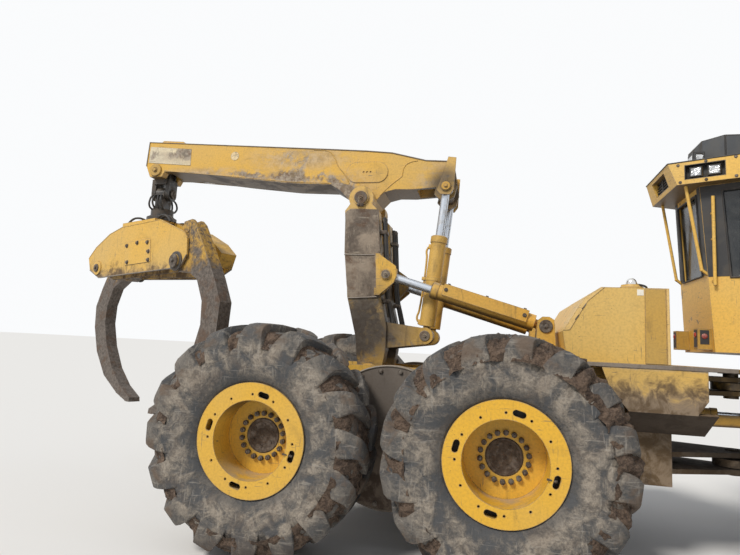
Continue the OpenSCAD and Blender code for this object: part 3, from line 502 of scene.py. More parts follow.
# the round plates at the bogie's pivot, the towing eye's plate, the pins of the knuckle and the arch
wheel_height = 0.900
disc_face = 0.905
bolt_circle = 0.552
edge_radius = 0.594
disc_spots = [((bolt_circle * math.cos(a), -disc_face, wheel_height + bolt_circle * math.sin(a)), (0, -1, 0))
              for a in around(20, 0.5)]
disc_bolts = both_sides(bolted("disc_bolts", 0.030, disc_spots))
plate_bolts = bolted("tow_plate_bolts", 0.036,
                     [((-0.980, y, z), (-1, 0, 0)) for y in (-0.1, 0.1) for z in (0.958, 1.082)])
knuckle_cap = pin_cap("knuckle_cap", 0.100, 0.016, (2.95, 0, 1.569), (0, 0, 1), 0.040)
base_caps = both_sides(pin_cap("arch_base_caps", 0.058, 0.014, (1.300, -0.554, 1.905), (0, -1, 0)))
fit(joined("frame_fasteners", [disc_bolts, plate_bolts, knuckle_cap, base_caps]), bolt_steel,
    "rear_frame", "engine_iron")
disc_edge = [(edge_radius * math.cos(a), -disc_face, wheel_height + edge_radius * math.sin(a))
             for a in around(40)]
fit(both_sides(tube("disc_edge", disc_edge, 0.009, True)), worn_plate_and_shadow, "rear_frame")

# the deck's worn edge strip, a darker plate on the tank's end that is painted shade, and the tank's edge
# strips
on_deck_side = (-0.856, -0.849)
edge_strip = outlined("deck_edge_strip", oblong(1.30, 1.586, 2.69, 1.620), *on_deck_side)
fit(both_sides(edge_strip), worn_plate_and_shadow, "rear_frame")
# painted shade: the tank's end face, turned from the light, as a darker plate on its side
tank_end = [(2.029, 1.624), (2.190, 1.624), (2.186, 2.224), (2.029, 2.224)]
tank_end_shade = outlined("tank_end_shade_plate", tank_end, *on_deck_side)
fit(both_sides(tank_end_shade), dark_yellow_and_shade, "rear_frame")
sloped = [(1.407, 1.862), (1.574, 2.140), (1.702, 2.229), (1.733, 2.229), (1.600, 2.110), (1.462, 1.868)]
upright = [(2.192, 1.622), (2.216, 1.622), (2.210, 2.229), (2.188, 2.229)]
strips = [outlined("tank_strip", sloped, -0.855, -0.848), outlined("tank_strip_end", upright, -0.857, -0.848)]
fit(both_sides(joined("tank_strips", strips)), pale_yellow, "rear_frame")
# dark plates in the tank's hand slots: painted shade inside them
slots = []
for x, z in ((1.497, 1.955), (1.551, 2.045)):
    corners = [(x, z), (x + 0.030, z + 0.045), (x + 0.037, z + 0.040), (x + 0.007, z - 0.005)]
    slots.append(outlined("hand_slot_shade", corners, -0.857, -0.852, 0.002))
fit(both_sides(joined("tank_hand_slot_shades", slots)), bolt_steel, "rear_frame", "engine_iron")


def blank_label():
    f = Finish("blank_label")
    dirt = f.between(f.cloud(30, 6), 0.46, 0.66)
    scuff = f.between(f.cloud(9, 7, None, 0.5), 0.50, 0.66)
    colour = f.blend(dirt * 0.35 | scuff * 0.5, (0.80, 0.76, 0.66), (0.46, 0.34, 0.16))
    return f.close(colour, 0.45 + dirt * 0.3, dirt, 0.0006)


tank_label = outlined("tank_label", oblong(1.973, 2.168, 2.023, 2.216), -0.8525, -0.849, 0.001)
fit(tank_label, blank_label(), "rear_frame", "bright_cap")
neck_profile = [(0.05, 0), (0.095, 0), (0.095, 0.012), (0.082, 0.020), (0.078, 0.034), (0.05, 0.034)]
neck = turned("filler_neck", neck_profile, cap=True)
fit(placed(neck, Matrix.Translation((1.955, -0.745, 2.229))), plain_yellow, "rear_frame")
strap_route = [(1.975, -0.800, 2.262), (2.010, -0.806, 2.258), (2.050, -0.796, 2.248), (2.066, -0.770, 2.238)]
strap = tube("cap_strap", strap_route, 0.009)


def black_trim(name, seed, dark=(0.018, 0.018, 0.019), dusty_tone=(0.115, 0.098, 0.080), film=0.5):
    f = Finish(name)
    at = f.moved((seed, seed, seed))
    fine = f.cloud(70, 4, at)
    dusty = f.between(f.cloud(5, 7, at, 0.3), 0.42, 0.70)
    colour = f.blend(dusty * film, dark, dusty_tone)
    chip = f.between(f.edges(0.006) * (fine + 0.3), 0.45, 0.65)
    colour = f.blend(chip * 0.5, colour, (0.16, 0.14, 0.12))
    return f.close(colour, 0.48 + dusty * 0.35, fine * 0.5 + dusty * 0.3, 0.0015)


black_rubber = black_trim("black_rubber", 5.0)
fit(strap, black_rubber, "rear_frame", "black_paint")

# Wheels: the dished rim, its hub face, the ring of nuts and the valve.
# The rim is a rolled and welded steel dish, painted yellow. Eighteen nuts hold it to the hub, whose
# face is bare and oily. The valve stem lies in one of the rim's slots.
wheel_rows = {"rear": -1.835, "mid": 0.055, "front": 3.810}
track_half = 1.300
dish_floor = 0.030
nut_circle = 0.176
nut_count = 18
wheel_turn = {"rear": -0.64, "mid": 0.02, "front": 1.33}

rim_paint = weathered("rim_paint", (0.74, 0.415, 0.030), (0.66, 0.40, 0.070), 0.42, 0.35, 0.0, 6.0)
hub_iron = steel_finish("hub_iron", (0.075, 0.055, 0.042), (0.175, 0.140, 0.112))
nut_seed = hex_head("nut_seed", 0.038, 0.030, False)
stud_seed = turned("stud_seed", [(0, 0.028), (0.0095, 0.028), (0.0095, 0.042), (0, 0.044)], 8)
nut_seed = joined("nut_seed", [nut_seed, stud_seed])
ring_spots = [((nut_circle * math.cos(a), nut_circle * math.sin(a), dish_floor), (0, 0, 1), a)
              for a in around(nut_count, 0.3)]
nut_ring = scattered("nut_ring", nut_seed, ring_spots)
hub_profile = [(0, 0.014), (0.136, 0.014), (0.136, 0.030), (0.131, 0.036), (0.112, 0.037), (0.106, 0.031),
               (0.060, 0.030), (0.054, 0.034), (0.020, 0.034), (0.016, 0.030), (0, 0.030)]
hub_face = turned("hub_face", hub_profile, 40)
hub_spots = [((0.086 * math.cos(a), 0.086 * math.sin(a), 0.030), (0, 0, 1)) for a in around(6)]
hub_face = joined("hub_face", [hub_face, bolted("hub_bolts", 0.016, hub_spots)])
valve_profile = [(0, 0), (0.011, 0), (0.011, 0.02), (0.006, 0.024), (0.006, 0.06), (0.008, 0.062),
                 (0.008, 0.075), (0, 0.075)]
valve = turned("valve", valve_profile, 12)
slot_turn = math.radians(345)
valve_foot = (0.352 * math.cos(slot_turn), 0.352 * math.sin(slot_turn), 0.276)
placed(valve, facing(valve_foot, (-0.75, 0.22, 0.45)))
# a black ring behind the rim's slots: painted shade seen through them
shade_ring_profile = [(0.309, 0.205), (0.380, 0.205), (0.380, 0.212), (0.345, 0.216), (0.309, 0.212),
                   (0.309, 0.205)]
shade_ring = turned("slot_shade_ring", shade_ring_profile, 48)
for row, x in wheel_rows.items():
    for side, sign in (("right", -1), ("left", 1)):
        outwards = Matrix.Rotation(-sign * math.pi / 2, 4, "X")
        wheel_frame = Matrix.Translation((x, sign * track_half, wheel_height)) @ outwards
        nut_frame = wheel_frame @ Matrix.Rotation(wheel_turn[row], 4, "Z")
        body = f"wheel_{row}_{side}"
        settle(copied(nut_ring, f"wheel_nuts_{row}_{side}", nut_frame), bolt_steel, body, "engine_iron")
        settle(copied(hub_face, f"hub_face_{row}_{side}", nut_frame), hub_iron, body, "engine_iron")
        settle(copied(valve, f"tyre_valve_{row}_{side}", wheel_frame), bolt_steel, body, "engine_iron")
        settle(copied(shade_ring, f"slot_backing_{row}_{side}", wheel_frame), black_rubber, body, "black_paint")
        dress(rim_paint, f"rim_{row}_{side}")
for seed in (nut_ring, hub_face, valve, shade_ring):
    bpy.data.objects.remove(seed)

# Tyres: wide forestry tyres with sixteen bars to each side.
# Moulded rubber. Each bar runs from the middle of the tread out over the shoulder and into the side
# wall. Dry mud greys the side walls, and damp clods fill some of the gaps between the bars.
bars_a_side = 16
bar_phase = {"rear": 9, "mid": 1, "front": 6}
carcass = [  # radius, across
    (0.408, 0.272), (0.441, 0.283), (0.454, 0.298), (0.470, 0.306), (0.500, 0.326),
    (0.560, 0.341), (0.610, 0.347), (0.650, 0.349), (0.700, 0.334), (0.745, 0.318),
    (0.790, 0.298), (0.822, 0.268), (0.838, 0.220), (0.844, 0.130), (0.845, 0),
]
bar_path = [  # radius and place across of the top, then of the foot, turn in degrees, half width
    (0.893, 0.006, 0.825, 0.006, 2.0, 0.052), (0.900, 0.045, 0.825, 0.040, 3.2, 0.062),
    (0.900, 0.150, 0.822, 0.140, 7.8, 0.066), (0.896, 0.240, 0.812, 0.215, 11.8, 0.071),
    (0.886, 0.288, 0.800, 0.245, 13.6, 0.076), (0.862, 0.322, 0.780, 0.265, 14.8, 0.081),
    (0.828, 0.341, 0.760, 0.285, 15.5, 0.087), (0.780, 0.350, 0.735, 0.305, 16.2, 0.094),
    (0.715, 0.352, 0.700, 0.318, 16.7, 0.101), (0.655, 0.351, 0.655, 0.330, 17.0, 0.106),
]


def rubber_finish():
    f = Finish("tyre_rubber")
    film = f.cloud(3.6, 10, None, 0.8, 0.64)
    stroke = f.cloud(11, 9, None, 0.7, 0.72)
    fine = f.cloud(60, 6, None, 0.4, 0.7)
    flat = f.moved((0, 0, 0), (1, 0, 1))
    away = None
    for x in wheel_rows.values():
        centre = (x, 0, wheel_height)
        reach = f.node("ShaderNodeVectorMath", {"operation": "DISTANCE"}, {0: flat, 1: centre}, "Value")
        away = reach if away is None else away.sum("MINIMUM", away, reach)
    tread = f.between(away, 0.70, 0.80)
    rim_side = f.between(away, 0.53, 0.47)
    black = f.blend(fine, (0.034, 0.036, 0.039), (0.078, 0.079, 0.082))
    grey_mud = f.blend(f.between(fine * 0.5 + stroke * 0.5, 0.38, 0.62), (0.150, 0.128, 0.105),
                       (0.330, 0.285, 0.230))
    share = f.between(film * 0.66 + stroke * 0.36, 0.42, 0.58)
    colour = f.blend(share * (0.95 - tread * 0.52 - rim_side * 0.60), black, grey_mud)
    # scratches in strokes round the wheel and across it
    drag = f.between(f.cloud(6, 4, f.moved((2, 0, 1), (1, 1, 9), (0, 0.5, 0)), 0.5), 0.60, 0.66)
    drag = drag | f.between(f.cloud(6, 4, f.moved((5, 0, 3), (9, 1, 1), (0, 0.4, 0)), 0.5), 0.61, 0.67)
    colour = f.blend(drag * 0.45 * (1.0 - rim_side), colour, (0.33, 0.30, 0.26))
    scrub = f.between(f.edges(0.022), 0.1, 0.8)
    colour = f.blend(scrub * 0.5 * f.between(stroke, 0.35, 0.6), colour, (0.125, 0.115, 0.105))
    smear = f.between(f.cloud(5, 6, f.moved((3, 1, 2)), 0.8), 0.50, 0.66)
    colour = f.blend(smear * (0.20 + tread * 0.55), colour, (0.135, 0.092, 0.062))
    low = f.between(f.height() + (film - 0.5) * 0.5, 0.30, -0.02)
    colour = f.blend(low * 0.6, colour, mud_dark)
    relief = share * 0.5 + fine * 0.35 + stroke * 0.5 + smear * 0.35 * tread
    return f.close(colour, 0.70 + share * 0.22, relief, 0.011)


def clod_finish():
    f = Finish("mud_clods")
    lumps = f.cloud(15, 10, None, 0.6, 0.72)
    fine = f.cloud(60, 6, None, 0.3, 0.7)
    crumbs = f.cells(46)
    colour = f.blend(f.between(lumps, 0.36, 0.62), (0.045, 0.028, 0.019), (0.165, 0.112, 0.078))
    colour = f.blend(f.between(fine, 0.58, 0.72) * 0.5, colour, (0.32, 0.255, 0.19))
    return f.close(colour, 0.93, lumps + fine * 0.5 + crumbs * 0.7, 0.030)


def one_bar():
    """A bar lofted by extruding its foot-and-top section from one station to the next"""
    wipe()
    bpy.ops.mesh.primitive_plane_add(size=0.02)
    bar = bpy.context.object
    spread = 1.16
    lift = Vector((0, 0, 0.01))

    def section(top_r, top_y, foot_r, foot_y, degrees, half):
        corners = []
        feet = ((foot_r, foot_y, -spread), (foot_r, foot_y, spread))
        for r, y, side in (*feet, (top_r, top_y, 1), (top_r, top_y, -1)):
            a = math.radians(degrees) + side * half / r
            corners.append(Vector((r * math.cos(a), r * math.sin(a), y)))
        return corners

    for index, corner in zip((0, 1, 3, 2), section(*bar_path[0])):
        bar.data.vertices[index].co = corner
    for before, station in zip(bar_path, bar_path[1:]):
        bpy.ops.object.mode_set(mode="EDIT")
        if before is bar_path[0]:
            bpy.ops.mesh.select_all(action="SELECT")
        bpy.ops.mesh.extrude_region_move(TRANSFORM_OT_translate={"value": lift})
        bpy.ops.object.mode_set(mode="OBJECT")
        moved = [v for v in bar.data.vertices if v.select]
        for corner, old in zip(section(*station), section(*before)):
            nearest = min(moved, key=lambda v: (v.co - old - lift).length)
            nearest.co = corner
            moved.remove(nearest)
    bpy.ops.object.mode_set(mode="EDIT")
    bpy.ops.mesh.select_all(action="SELECT")
    bpy.ops.mesh.normals_make_consistent(inside=False)
    bpy.ops.object.mode_set(mode="OBJECT")
    rounding = bar.modifiers.new("rounding", "BEVEL")
    rounding.width = 0.012
    rounding.segments = 2
    rounding.limit_method = "ANGLE"
    rounding.angle_limit = math.radians(45)
    apply_all(bar)
    return bar


def roughened(piece, depth, size, seed_shift, level=0.5, group=""):
    """Lumps and wear pushed into the surface along its normals"""
    lumps = bpy.data.textures.new("lumps", "CLOUDS")
    lumps.noise_scale = size
    lumps.noise_depth = 3
    shift = Matrix.Translation(seed_shift)
    piece.data.transform(shift)
    push = piece.modifiers.new("push", "DISPLACE")
    push.texture = lumps
    push.texture_coords = "LOCAL"
    push.strength = depth
    push.mid_level = level
    push.vertex_group = group
    apply_all(piece)
    piece.data.transform(shift.inverted())
    return piece


full_profile = [(r, -y) for r, y in carcass] + [(r, y) for r, y in reversed(carcass[:-1])]
tyre_body = turned("tyre_body", full_profile + [full_profile[0]], 96)
bar_seed = one_bar()
bar_copies = []
for i, (outer, inner) in enumerate(zip(around(bars_a_side), around(bars_a_side, 0.5))):
    bar_copies.append(copied(bar_seed, f"bar_out_{i}", Matrix.Rotation(outer, 4, "Z")))
    other = Matrix.Rotation(inner, 4, "Z") @ Matrix.Scale(-1, 4, (0, 0, 1))
    bar_copies.append(copied(bar_seed, f"bar_in_{i}", other))
bpy.data.objects.remove(bar_seed)
tyre_seed = joined("tyre_seed", [tyre_body] + bar_copies)

# a ring of mud just under the floor of the gaps, pushed out where the wheel holds its mud
clod_profile = [(0.690, 0.330), (0.735, 0.315), (0.780, 0.294), (0.812, 0.262), (0.828, 0.215),
                (0.834, 0.120), (0.835, 0.0)]
clod_profile = clod_profile + [(r, -y) for r, y in reversed(clod_profile[:-1])]
clod_seed = turned("clod_seed", clod_profile, 110)
hold(clod_seed)
bpy.ops.object.mode_set(mode="EDIT")
bpy.ops.mesh.select_all(action="SELECT")
bpy.ops.mesh.subdivide(number_cuts=2)
bpy.ops.object.mode_set(mode="OBJECT")
held = {  # how much mud: everywhere, and more about one bearing
    "rear": (0.26, 0.40, math.radians(-60)),
    "mid": (0.42, 0.58, math.radians(45)),
    "front": (0.30, 0.5, math.radians(20)),
}
rubber = rubber_finish()
clods = clod_finish()
for row, x in wheel_rows.items():
    for side, sign in (("right", -1), ("left", 1)):
        hand = Matrix.Scale(-1, 4, (0, 1, 0)) if sign > 0 else Matrix.Identity(4)
        wheel_frame = Matrix.Translation((x, sign * track_half, wheel_height)) @ hand
        wheel_frame = wheel_frame @ Matrix.Rotation(math.pi / 2, 4, "X")
        name = f"{row}_{side}"
        seed_shift = (x * 3.3, sign * 5.1, 2.0)
        phase = Matrix.Rotation(math.radians(bar_phase[row]), 4, "Z")
        tyre = copied(tyre_seed, f"treaded_tyre_{name}", wheel_frame @ phase)
        settle(roughened(tyre, 0.012, 0.16, seed_shift), rubber, f"wheel_{name}", "tyre", f"tyre_{name}",
               smooth=28)
        clod = copied(clod_seed, f"tread_mud_{name}", Matrix.Identity(4))
        everywhere, more, bearing = held[row]
        fill = clod.vertex_groups.new(name="fill")
        for v in clod.data.vertices:
            about = 0.5 + 0.5 * math.cos(math.atan2(v.co.y, v.co.x) - bearing)
            clear = 0.35 if v.co.z < -0.22 else 1.0
            fill.add([v.index], clear * (everywhere + more * about ** 2), "REPLACE")
        placed(clod, wheel_frame)
        settle(roughened(clod, 0.185, 0.085, seed_shift, 0.28, "fill"), clods, f"wheel_{name}", "tyre",
               smooth=60)
bpy.data.objects.remove(tyre_seed)
bpy.data.objects.remove(clod_seed)

# Arch and boom: the posts that swing on the rear frame and the box boom they carry.
# Both are welded boxes in construction yellow. Wear plates are welded to the arch's sides and have
# been scoured to grey. Hoses climb its front, and keeper caps hold the pins.
tip_x = -2.935
boom_side = 0.2005
arch_scour = (((-0.45, 0, 2.35), (0.22, 0.6, 0.75)), ((-0.30, 0, 1.75), (0.35, 0.6, 0.32)))
# painted shade low on the arch, where it meets the frame and cylinders
arch_joint_shade = (((-0.35, 0, 1.86), (0.50, 0.7, 0.44)),)
dress(weathered("arch_paint", worn=0.75, grime=0.75, mud_top=1.30, seed=7.0, scoured=arch_scour,
                shaded_joints=arch_joint_shade), "arch")


def scoured_finish():
    f = Finish("scoured_steel")
    film = f.cloud(3.2, 9, None, 0.8, 0.62)
    fine = f.cloud(26, 7, None, 0.3, 0.7)
    tone = f.between(film * 0.7 + fine * 0.3, 0.38, 0.62)
    colour = f.blend(tone, (0.085, 0.064, 0.048), (0.270, 0.215, 0.160))
    rust = f.between(f.cloud(5, 8, f.moved((3, 1, 2)), 0.6), 0.50, 0.64)
    colour = f.blend(rust * 0.6, colour, (0.120, 0.060, 0.030))
    hair = f.cloud(8, 4, f.moved((1, 2, 5), (14, 1, 1), (0.1, 0.2, 0.1)), 0.3)
    hair = hair | f.cloud(8, 4, f.moved((4, 2, 1), (1, 1, 12), (0.2, 0.5, 0.1)), 0.3)
    drag = f.between(hair, 0.62, 0.68)
    colour = f.blend(drag * 0.6, colour, (0.42, 0.36, 0.28))
    chip = f.between(f.edges(0.014) * (fine + 0.4), 0.35, 0.55)
    colour = f.blend(chip * 0.75, colour, (0.46, 0.38, 0.27))
    rough = 0.42 + rust * 0.3 + fine * 0.15
    return f.close(colour, rough, film * 0.6 + fine * 0.35 - drag * 0.3, 0.006, 0.35)


wear_upper = [(-0.612, 2.985), (-0.560, 3.010), (-0.288, 3.002), (-0.262, 2.760), (-0.249, 2.551),
              (-0.600, 2.551)]
wear_lower = [(-0.600, 2.538), (-0.246, 2.538), (-0.218, 2.141), (-0.540, 2.118), (-0.566, 2.250)]
plates = [outlined("wear_upper", wear_upper, -0.411, -0.399, 0.005),
          outlined("wear_lower", wear_lower, -0.413, -0.399, 0.005)]
scoured_steel = scoured_finish()
fit(both_sides(joined("arch_wear_plates", plates)), scoured_steel, "arch")
seams = [
    tube("weld_across", [(-0.603, -0.410, 2.545), (-0.42, -0.411, 2.543), (-0.248, -0.410, 2.546)], 0.009),
    tube("weld_front", [(-0.285, -0.404, 2.99), (-0.250, -0.405, 2.57)], 0.006),
    tube("weld_rear", [(-0.613, -0.404, 2.97), (-0.600, -0.405, 2.56)], 0.006),
    tube("weld_low", [(-0.545, -0.406, 2.113), (-0.22, -0.406, 2.135)], 0.008),
]
fit(both_sides(joined("arch_welds", seams)), worn_plate_and_shadow, "arch")
boom_pin = pin_cap("boom_pin_cap", 0.066, 0.016, (-0.465, -0.417, 3.120), (0, -1, 0), 0.034)
keeper = outlined("pin_keeper", oblong(-0.50, 3.030, -0.43, 3.062), -0.428, -0.400, 0.004)
eye_cap = pin_cap("arch_eye_cap", 0.043, 0.012, (-0.152, -0.548, 2.337), (0, -1, 0), 0.028)
foot_cap = pin_cap("boom_base_cap", 0.050, 0.010, (0.217, -0.374, 1.779), (0, -1, 0), 0.028)
fit(both_sides(joined("arch_pin_caps", [boom_pin, keeper, eye_cap, foot_cap])), scoured_steel, "arch",
    "engine_iron")
arch_bolts = bolted("arch_bolts", 0.020, [((x, -0.428, 3.046), (0, -1, 0)) for x in (-0.482, -0.448)])
fit(both_sides(arch_bolts), bolt_steel, "arch", "engine_iron")

hose_rows = (0.262, 0.292, 0.322, 0.352)
front_face = [(-0.135, 1.66), (-0.128, 1.84), (-0.165, 2.02), (-0.200, 2.16), (-0.222, 2.42),
              (-0.242, 2.68), (-0.262, 2.93)]
hoses = []
for i, y in enumerate(hose_rows):
    route = [(x + 0.022 + 0.014 * (i % 2), -y + 0.006 * math.sin(5 * z + i), z) for x, z in front_face]
    hoses.append(tube(f"arch_hose_{i}", route, 0.016))
fit(both_sides(joined("arch_hoses", hoses)), black_rubber, "arch", "black_paint")
ports = [((x + 0.022 + 0.014 * (i % 2), -y, z), (0, 0, s)) for i, y in enumerate(hose_rows)
         for (x, z), s in ((front_face[0], 1), (front_face[-1], -1))]
fittings = scattered("hose_fittings", hex_head("fitting_seed", 0.036, 0.050, False),
                     [(a, n, 0.3) for a, n in ports])
clamps = [block("hose_clamp", (x - 0.010, -0.376, z - 0.018), (x + 0.058, -0.240, z + 0.018))
          for x, z in ((-0.196, 2.10), (-0.226, 2.44), (-0.252, 2.78))]
fit(both_sides(joined("arch_fittings", [fittings] + clamps)), bolt_steel, "arch", "engine_iron")

boom_scour = (((-1.20, 0, 3.62), (0.50, 0.4, 0.12)), ((-2.20, 0, 3.475), (0.60, 0.4, 0.055)),
              ((-1.45, 0, 3.40), (0.60, 0.4, 0.075)), ((-0.82, 0, 3.33), (0.38, 0.4, 0.15)),
              ((-0.60, 0, 3.22), (0.22, 0.4, 0.14)), ((0.30, 0, 3.30), (0.25, 0.4, 0.22)))
# painted shade at the boom's eye, where the boom cylinder meets it
boom_eye_shade = (((0.36, 0, 3.31), (0.18, 0.5, 0.16)),)
dress(weathered("boom_paint", worn=0.36, grime=0.35, mud_top=0.0, seed=8.0, streak=(1.2, 5, 5),
                scoured=boom_scour, shaded_joints=boom_eye_shade), "boom_arm")


def seam(name, points, radius):
    """A straight-sided bead: weld beads, joints in sheet, and the painted shadow line along the boom's top
    edges
    """
    return tube(name, points, radius, handles="VECTOR")


boom_outline = [(-3.060, 3.571), (-3.045, 3.853), (-0.880, 3.709), (-0.487, 3.681), (-0.210, 3.653),
                (0.042, 3.589), (0.146, 3.563), (0.425, 3.547)]
# a dark line along the boom's top edges: painted shadow of the top plate's overhang
top_shadow_line = seam("boom_top_shadow_line", [(x, -boom_side, z) for x, z in boom_outline], 0.007)
fit(both_sides(top_shadow_line), worn_plate_and_shadow, "boom")
plate_outline = [(-3.030, 3.800), (-2.510, 3.758), (-2.505, 3.565), (-3.038, 3.608)]
side_label = outlined("boom_blank_plate", plate_outline, -0.2035, -0.199, 0.0015)
plate_scour = (((-2.75, 0, 3.70), (0.4, 0.4, 0.1)),)
bare_label = weathered("bare_label", (0.70, 0.55, 0.30), (0.76, 0.68, 0.50), 0.75, 0.35, 0.0, 26.0,
                       scoured=plate_scour)
fit(both_sides(side_label), bare_label, "boom", "bright_cap")
spot = turned("boom_round_label", [(0, 0), (0.050, 0), (0.049, 0.0025), (0, 0.0025)], 28)
placed(spot, facing((-1.974, -0.1995, 3.664), (0, -1, 0)))
faded_label = weathered("faded_label", (0.74, 0.53, 0.24), (0.78, 0.64, 0.40), 0.65, 0.30, 0.0, 28.0)
fit(both_sides(spot), faded_label, "boom", "bright_cap")
arcs = [
    [(-1.062, 3.708), (-0.95, 3.700), (-0.883, 3.681), (-0.825, 3.610), (-0.785, 3.525), (-0.703, 3.425),
     (-0.65, 3.33)],
    [(-0.097, 3.400), (-0.07, 3.510), (-0.01, 3.550), (0.062, 3.564)],
    [(-0.32, 3.20), (-0.22, 3.30), (-0.097, 3.400)],
]
welds = [tube(f"boom_weld_{i}", [(x, -boom_side, z) for x, z in arc], 0.005) for i, arc in enumerate(arcs)]
low_line = [(-2.83, 3.512), (-1.888, 3.421), (-1.304, 3.358), (-0.87, 3.340)]
welds.append(seam("boom_weld_low", [(x, -boom_side, z) for x, z in low_line], 0.004))
fit(both_sides(joined("boom_welds", welds)), plain_yellow, "boom")
tip_cap = pin_cap("tip_pin_cap", 0.072, 0.020, (tip_x, -0.199, 3.520), (0, -1, 0), 0.036)
tail_cap = pin_cap("boom_eye_cap", 0.043, 0.010, (0.369, -0.380, 3.241), (0, -1, 0), 0.028)
fit(both_sides(joined("boom_pin_caps", [tip_cap, tail_cap])), dark_yellow_and_shade, "boom")

# Hydraulic cylinders: barrels, glands and rods.
# Steel tube painted in an orange-yellow, with hard-chromed rods that carry a film of oil and dust. A
# steel pipe runs along each barrel to its gland end, held by a clamp band.
barrel_orange = (0.70, 0.37, 0.045)


def chrome_finish():
    f = Finish("rod_chrome")
    smear = f.cloud(9, 6, f.moved((1, 2, 3), (1, 1, 1)), 0.4)
    fine = f.cloud(70, 4)
    dusty = f.between(smear, 0.48, 0.66)
    colour = f.blend(dusty * 0.45, (0.56, 0.60, 0.66), (0.30, 0.27, 0.24))
    return f.close(colour, 0.24 + dusty * 0.30 + fine * 0.06, fine * 0.2, 0.0003, 0.85 - dusty * 0.35)


def along(start, end, y):
    """A matrix that puts +Z along the line from one pin to the other, both as (x, z)"""
    lean = math.atan2(end[0] - start[0], end[1] - start[1])
    return Matrix.Translation((start[0], y, start[1])) @ Matrix.Rotation(lean, 4, "Y")


barrel_paint = weathered("barrel_paint", barrel_orange, (0.62, 0.38, 0.085), 0.55, 0.75, 0.0, 9.0)
chrome = chrome_finish()
dress(barrel_paint, "arch_barrels", "boom_barrels", "blade_barrels", "steer_barrel_right",
      "steer_barrel_left", "grip_barrel_right", "grip_barrel_left")
dress(chrome, "arch_rods", "boom_rods", "blade_rods", "steer_rod_right", "steer_rod_left",
      "grip_rod_right", "grip_rod_left")


def barrel_fittings(name, length, radius, foot):
    """Pipe, ports, clamp band and gland ring of a cylinder that stands on its eye along +Z"""
    x = -radius - 0.020
    port_x = 0.01 - radius
    band_z = length * 0.55
    port_low = block("port_low", (port_x - 0.026, -0.022, foot), (port_x + 0.026, 0.022, foot + 0.05))
    port_top = block("port_top", (port_x - 0.026, -0.022, length - 0.125),
                     (port_x + 0.026, 0.022, length - 0.080))
    route = [(x + 0.004, 0, foot + 0.025), (x - 0.012, 0, foot + 0.06), (x, 0, foot + 0.13),
             (x, 0, length - 0.20), (x - 0.010, 0, length - 0.15), (x + 0.004, 0, length - 0.105)]
    pipe = tube("barrel_pipe", route, 0.010)
    band = turned("clamp_band", oblong(radius + 0.001, 0, radius + 0.004, 0.030))
    placed(band, Matrix.Translation((0, 0, band_z)))
    clamp = block("clamp", (x - 0.018, -0.016, band_z - 0.002), (x + 0.018, 0.016, band_z + 0.032))
    lip_profile = [(radius - 0.030, 0), (radius + 0.002, 0), (radius - 0.004, 0.008), (radius - 0.030, 0.008)]
    lip = turned("gland_lip", lip_profile)
    placed(lip, Matrix.Translation((0, 0, length)))
    return joined(name, [port_low, port_top, pipe, band, clamp, lip])


arch_line = along((1.300, 1.905), (-0.152, 2.337), -0.465)
boom_line = along((0.217, 1.779), (0.369, 3.241), -0.300)
blade_line = along((5.100, 1.380), (5.850, 1.010), -0.250)
boom_fittings = placed(barrel_fittings("boom_cylinder_fittings", 0.970, 0.075, 0.10), boom_line)
fit(both_sides(boom_fittings), plain_yellow, "boom_barrels", "cylinder_paint")
blade_fittings = placed(barrel_fittings("blade_cylinder_fittings", 0.530, 0.058, 0.09), blade_line)
fit(both_sides(blade_fittings), plain_yellow, "blade_barrels", "cylinder_paint")
guard_bolts = bolted("guard_bolts", 0.024, [((0.036, -0.086, z), (0, -1, 0)) for z in (0.20, 0.93)]
                     + [((0.089, y, z), (1, 0, 0)) for y in (-0.05, 0.04) for z in (0.21, 0.56, 0.92)])
arch_lip = turned("arch_gland", [(0.046, 0), (0.077, 0), (0.070, 0.008), (0.046, 0.008)])
placed(arch_lip, Matrix.Translation((0, 0, 1.060)))
arch_fittings = placed(joined("arch_cylinder_fittings", [guard_bolts, arch_lip]), arch_line)
fit(both_sides(arch_fittings), bolt_steel, "arch_barrels", "engine_iron")

# Grapple: yoke, swing block, rotator, head and tongs.
# The yoke and swing block are forged and greasy black. The head's plate housings are yellow with a
# bolted patch, bosses round their pins and hoses from the rotator. The tongs are worn to dark steel.
housing_face = 0.279
pivot_u = 0.800
pivot_z = 2.420
head_frame = Matrix.Translation((tip_x, 0, 0)) @ Matrix.Rotation(math.radians(-25), 4, "Z")
half_turn = Matrix.Rotation(math.pi, 4, "Z")


def both_halves(piece):
    """The piece and its twin turned half round the rotator's axis, put in the head's place"""
    twin = copied(piece, piece.name + "_twin", half_turn)
    return placed(joined(piece.name, [piece, twin]), head_frame)


def greasy_black(name, seed):
    f = Finish(name)
    at = f.moved((seed, seed * 2, seed * 3))
    caked = f.cloud(8, 8, at, 0.5, 0.66)
    fine = f.cloud(45, 5, at)
    colour = f.blend(f.between(fine, 0.3, 0.7), (0.018, 0.017, 0.016), (0.050, 0.045, 0.040))
    dirt = f.between(caked, 0.46, 0.62)
    colour = f.blend(dirt * 0.65, colour, (0.105, 0.080, 0.058))
    chip = f.between(f.edges(0.010) * (fine + 0.4), 0.45, 0.65)
    colour = f.blend(chip * 0.75, colour, (0.20, 0.18, 0.16))
    colour = f.blend(f.between(f.upward(), 0.4, 0.95) * f.between(caked, 0.35, 0.55) * 0.6, colour, dust_tan)
    return f.close(colour, 0.38 + dirt * 0.4 + chip * 0.1, caked * 0.9 + fine * 0.2, 0.006, chip * 0.6)


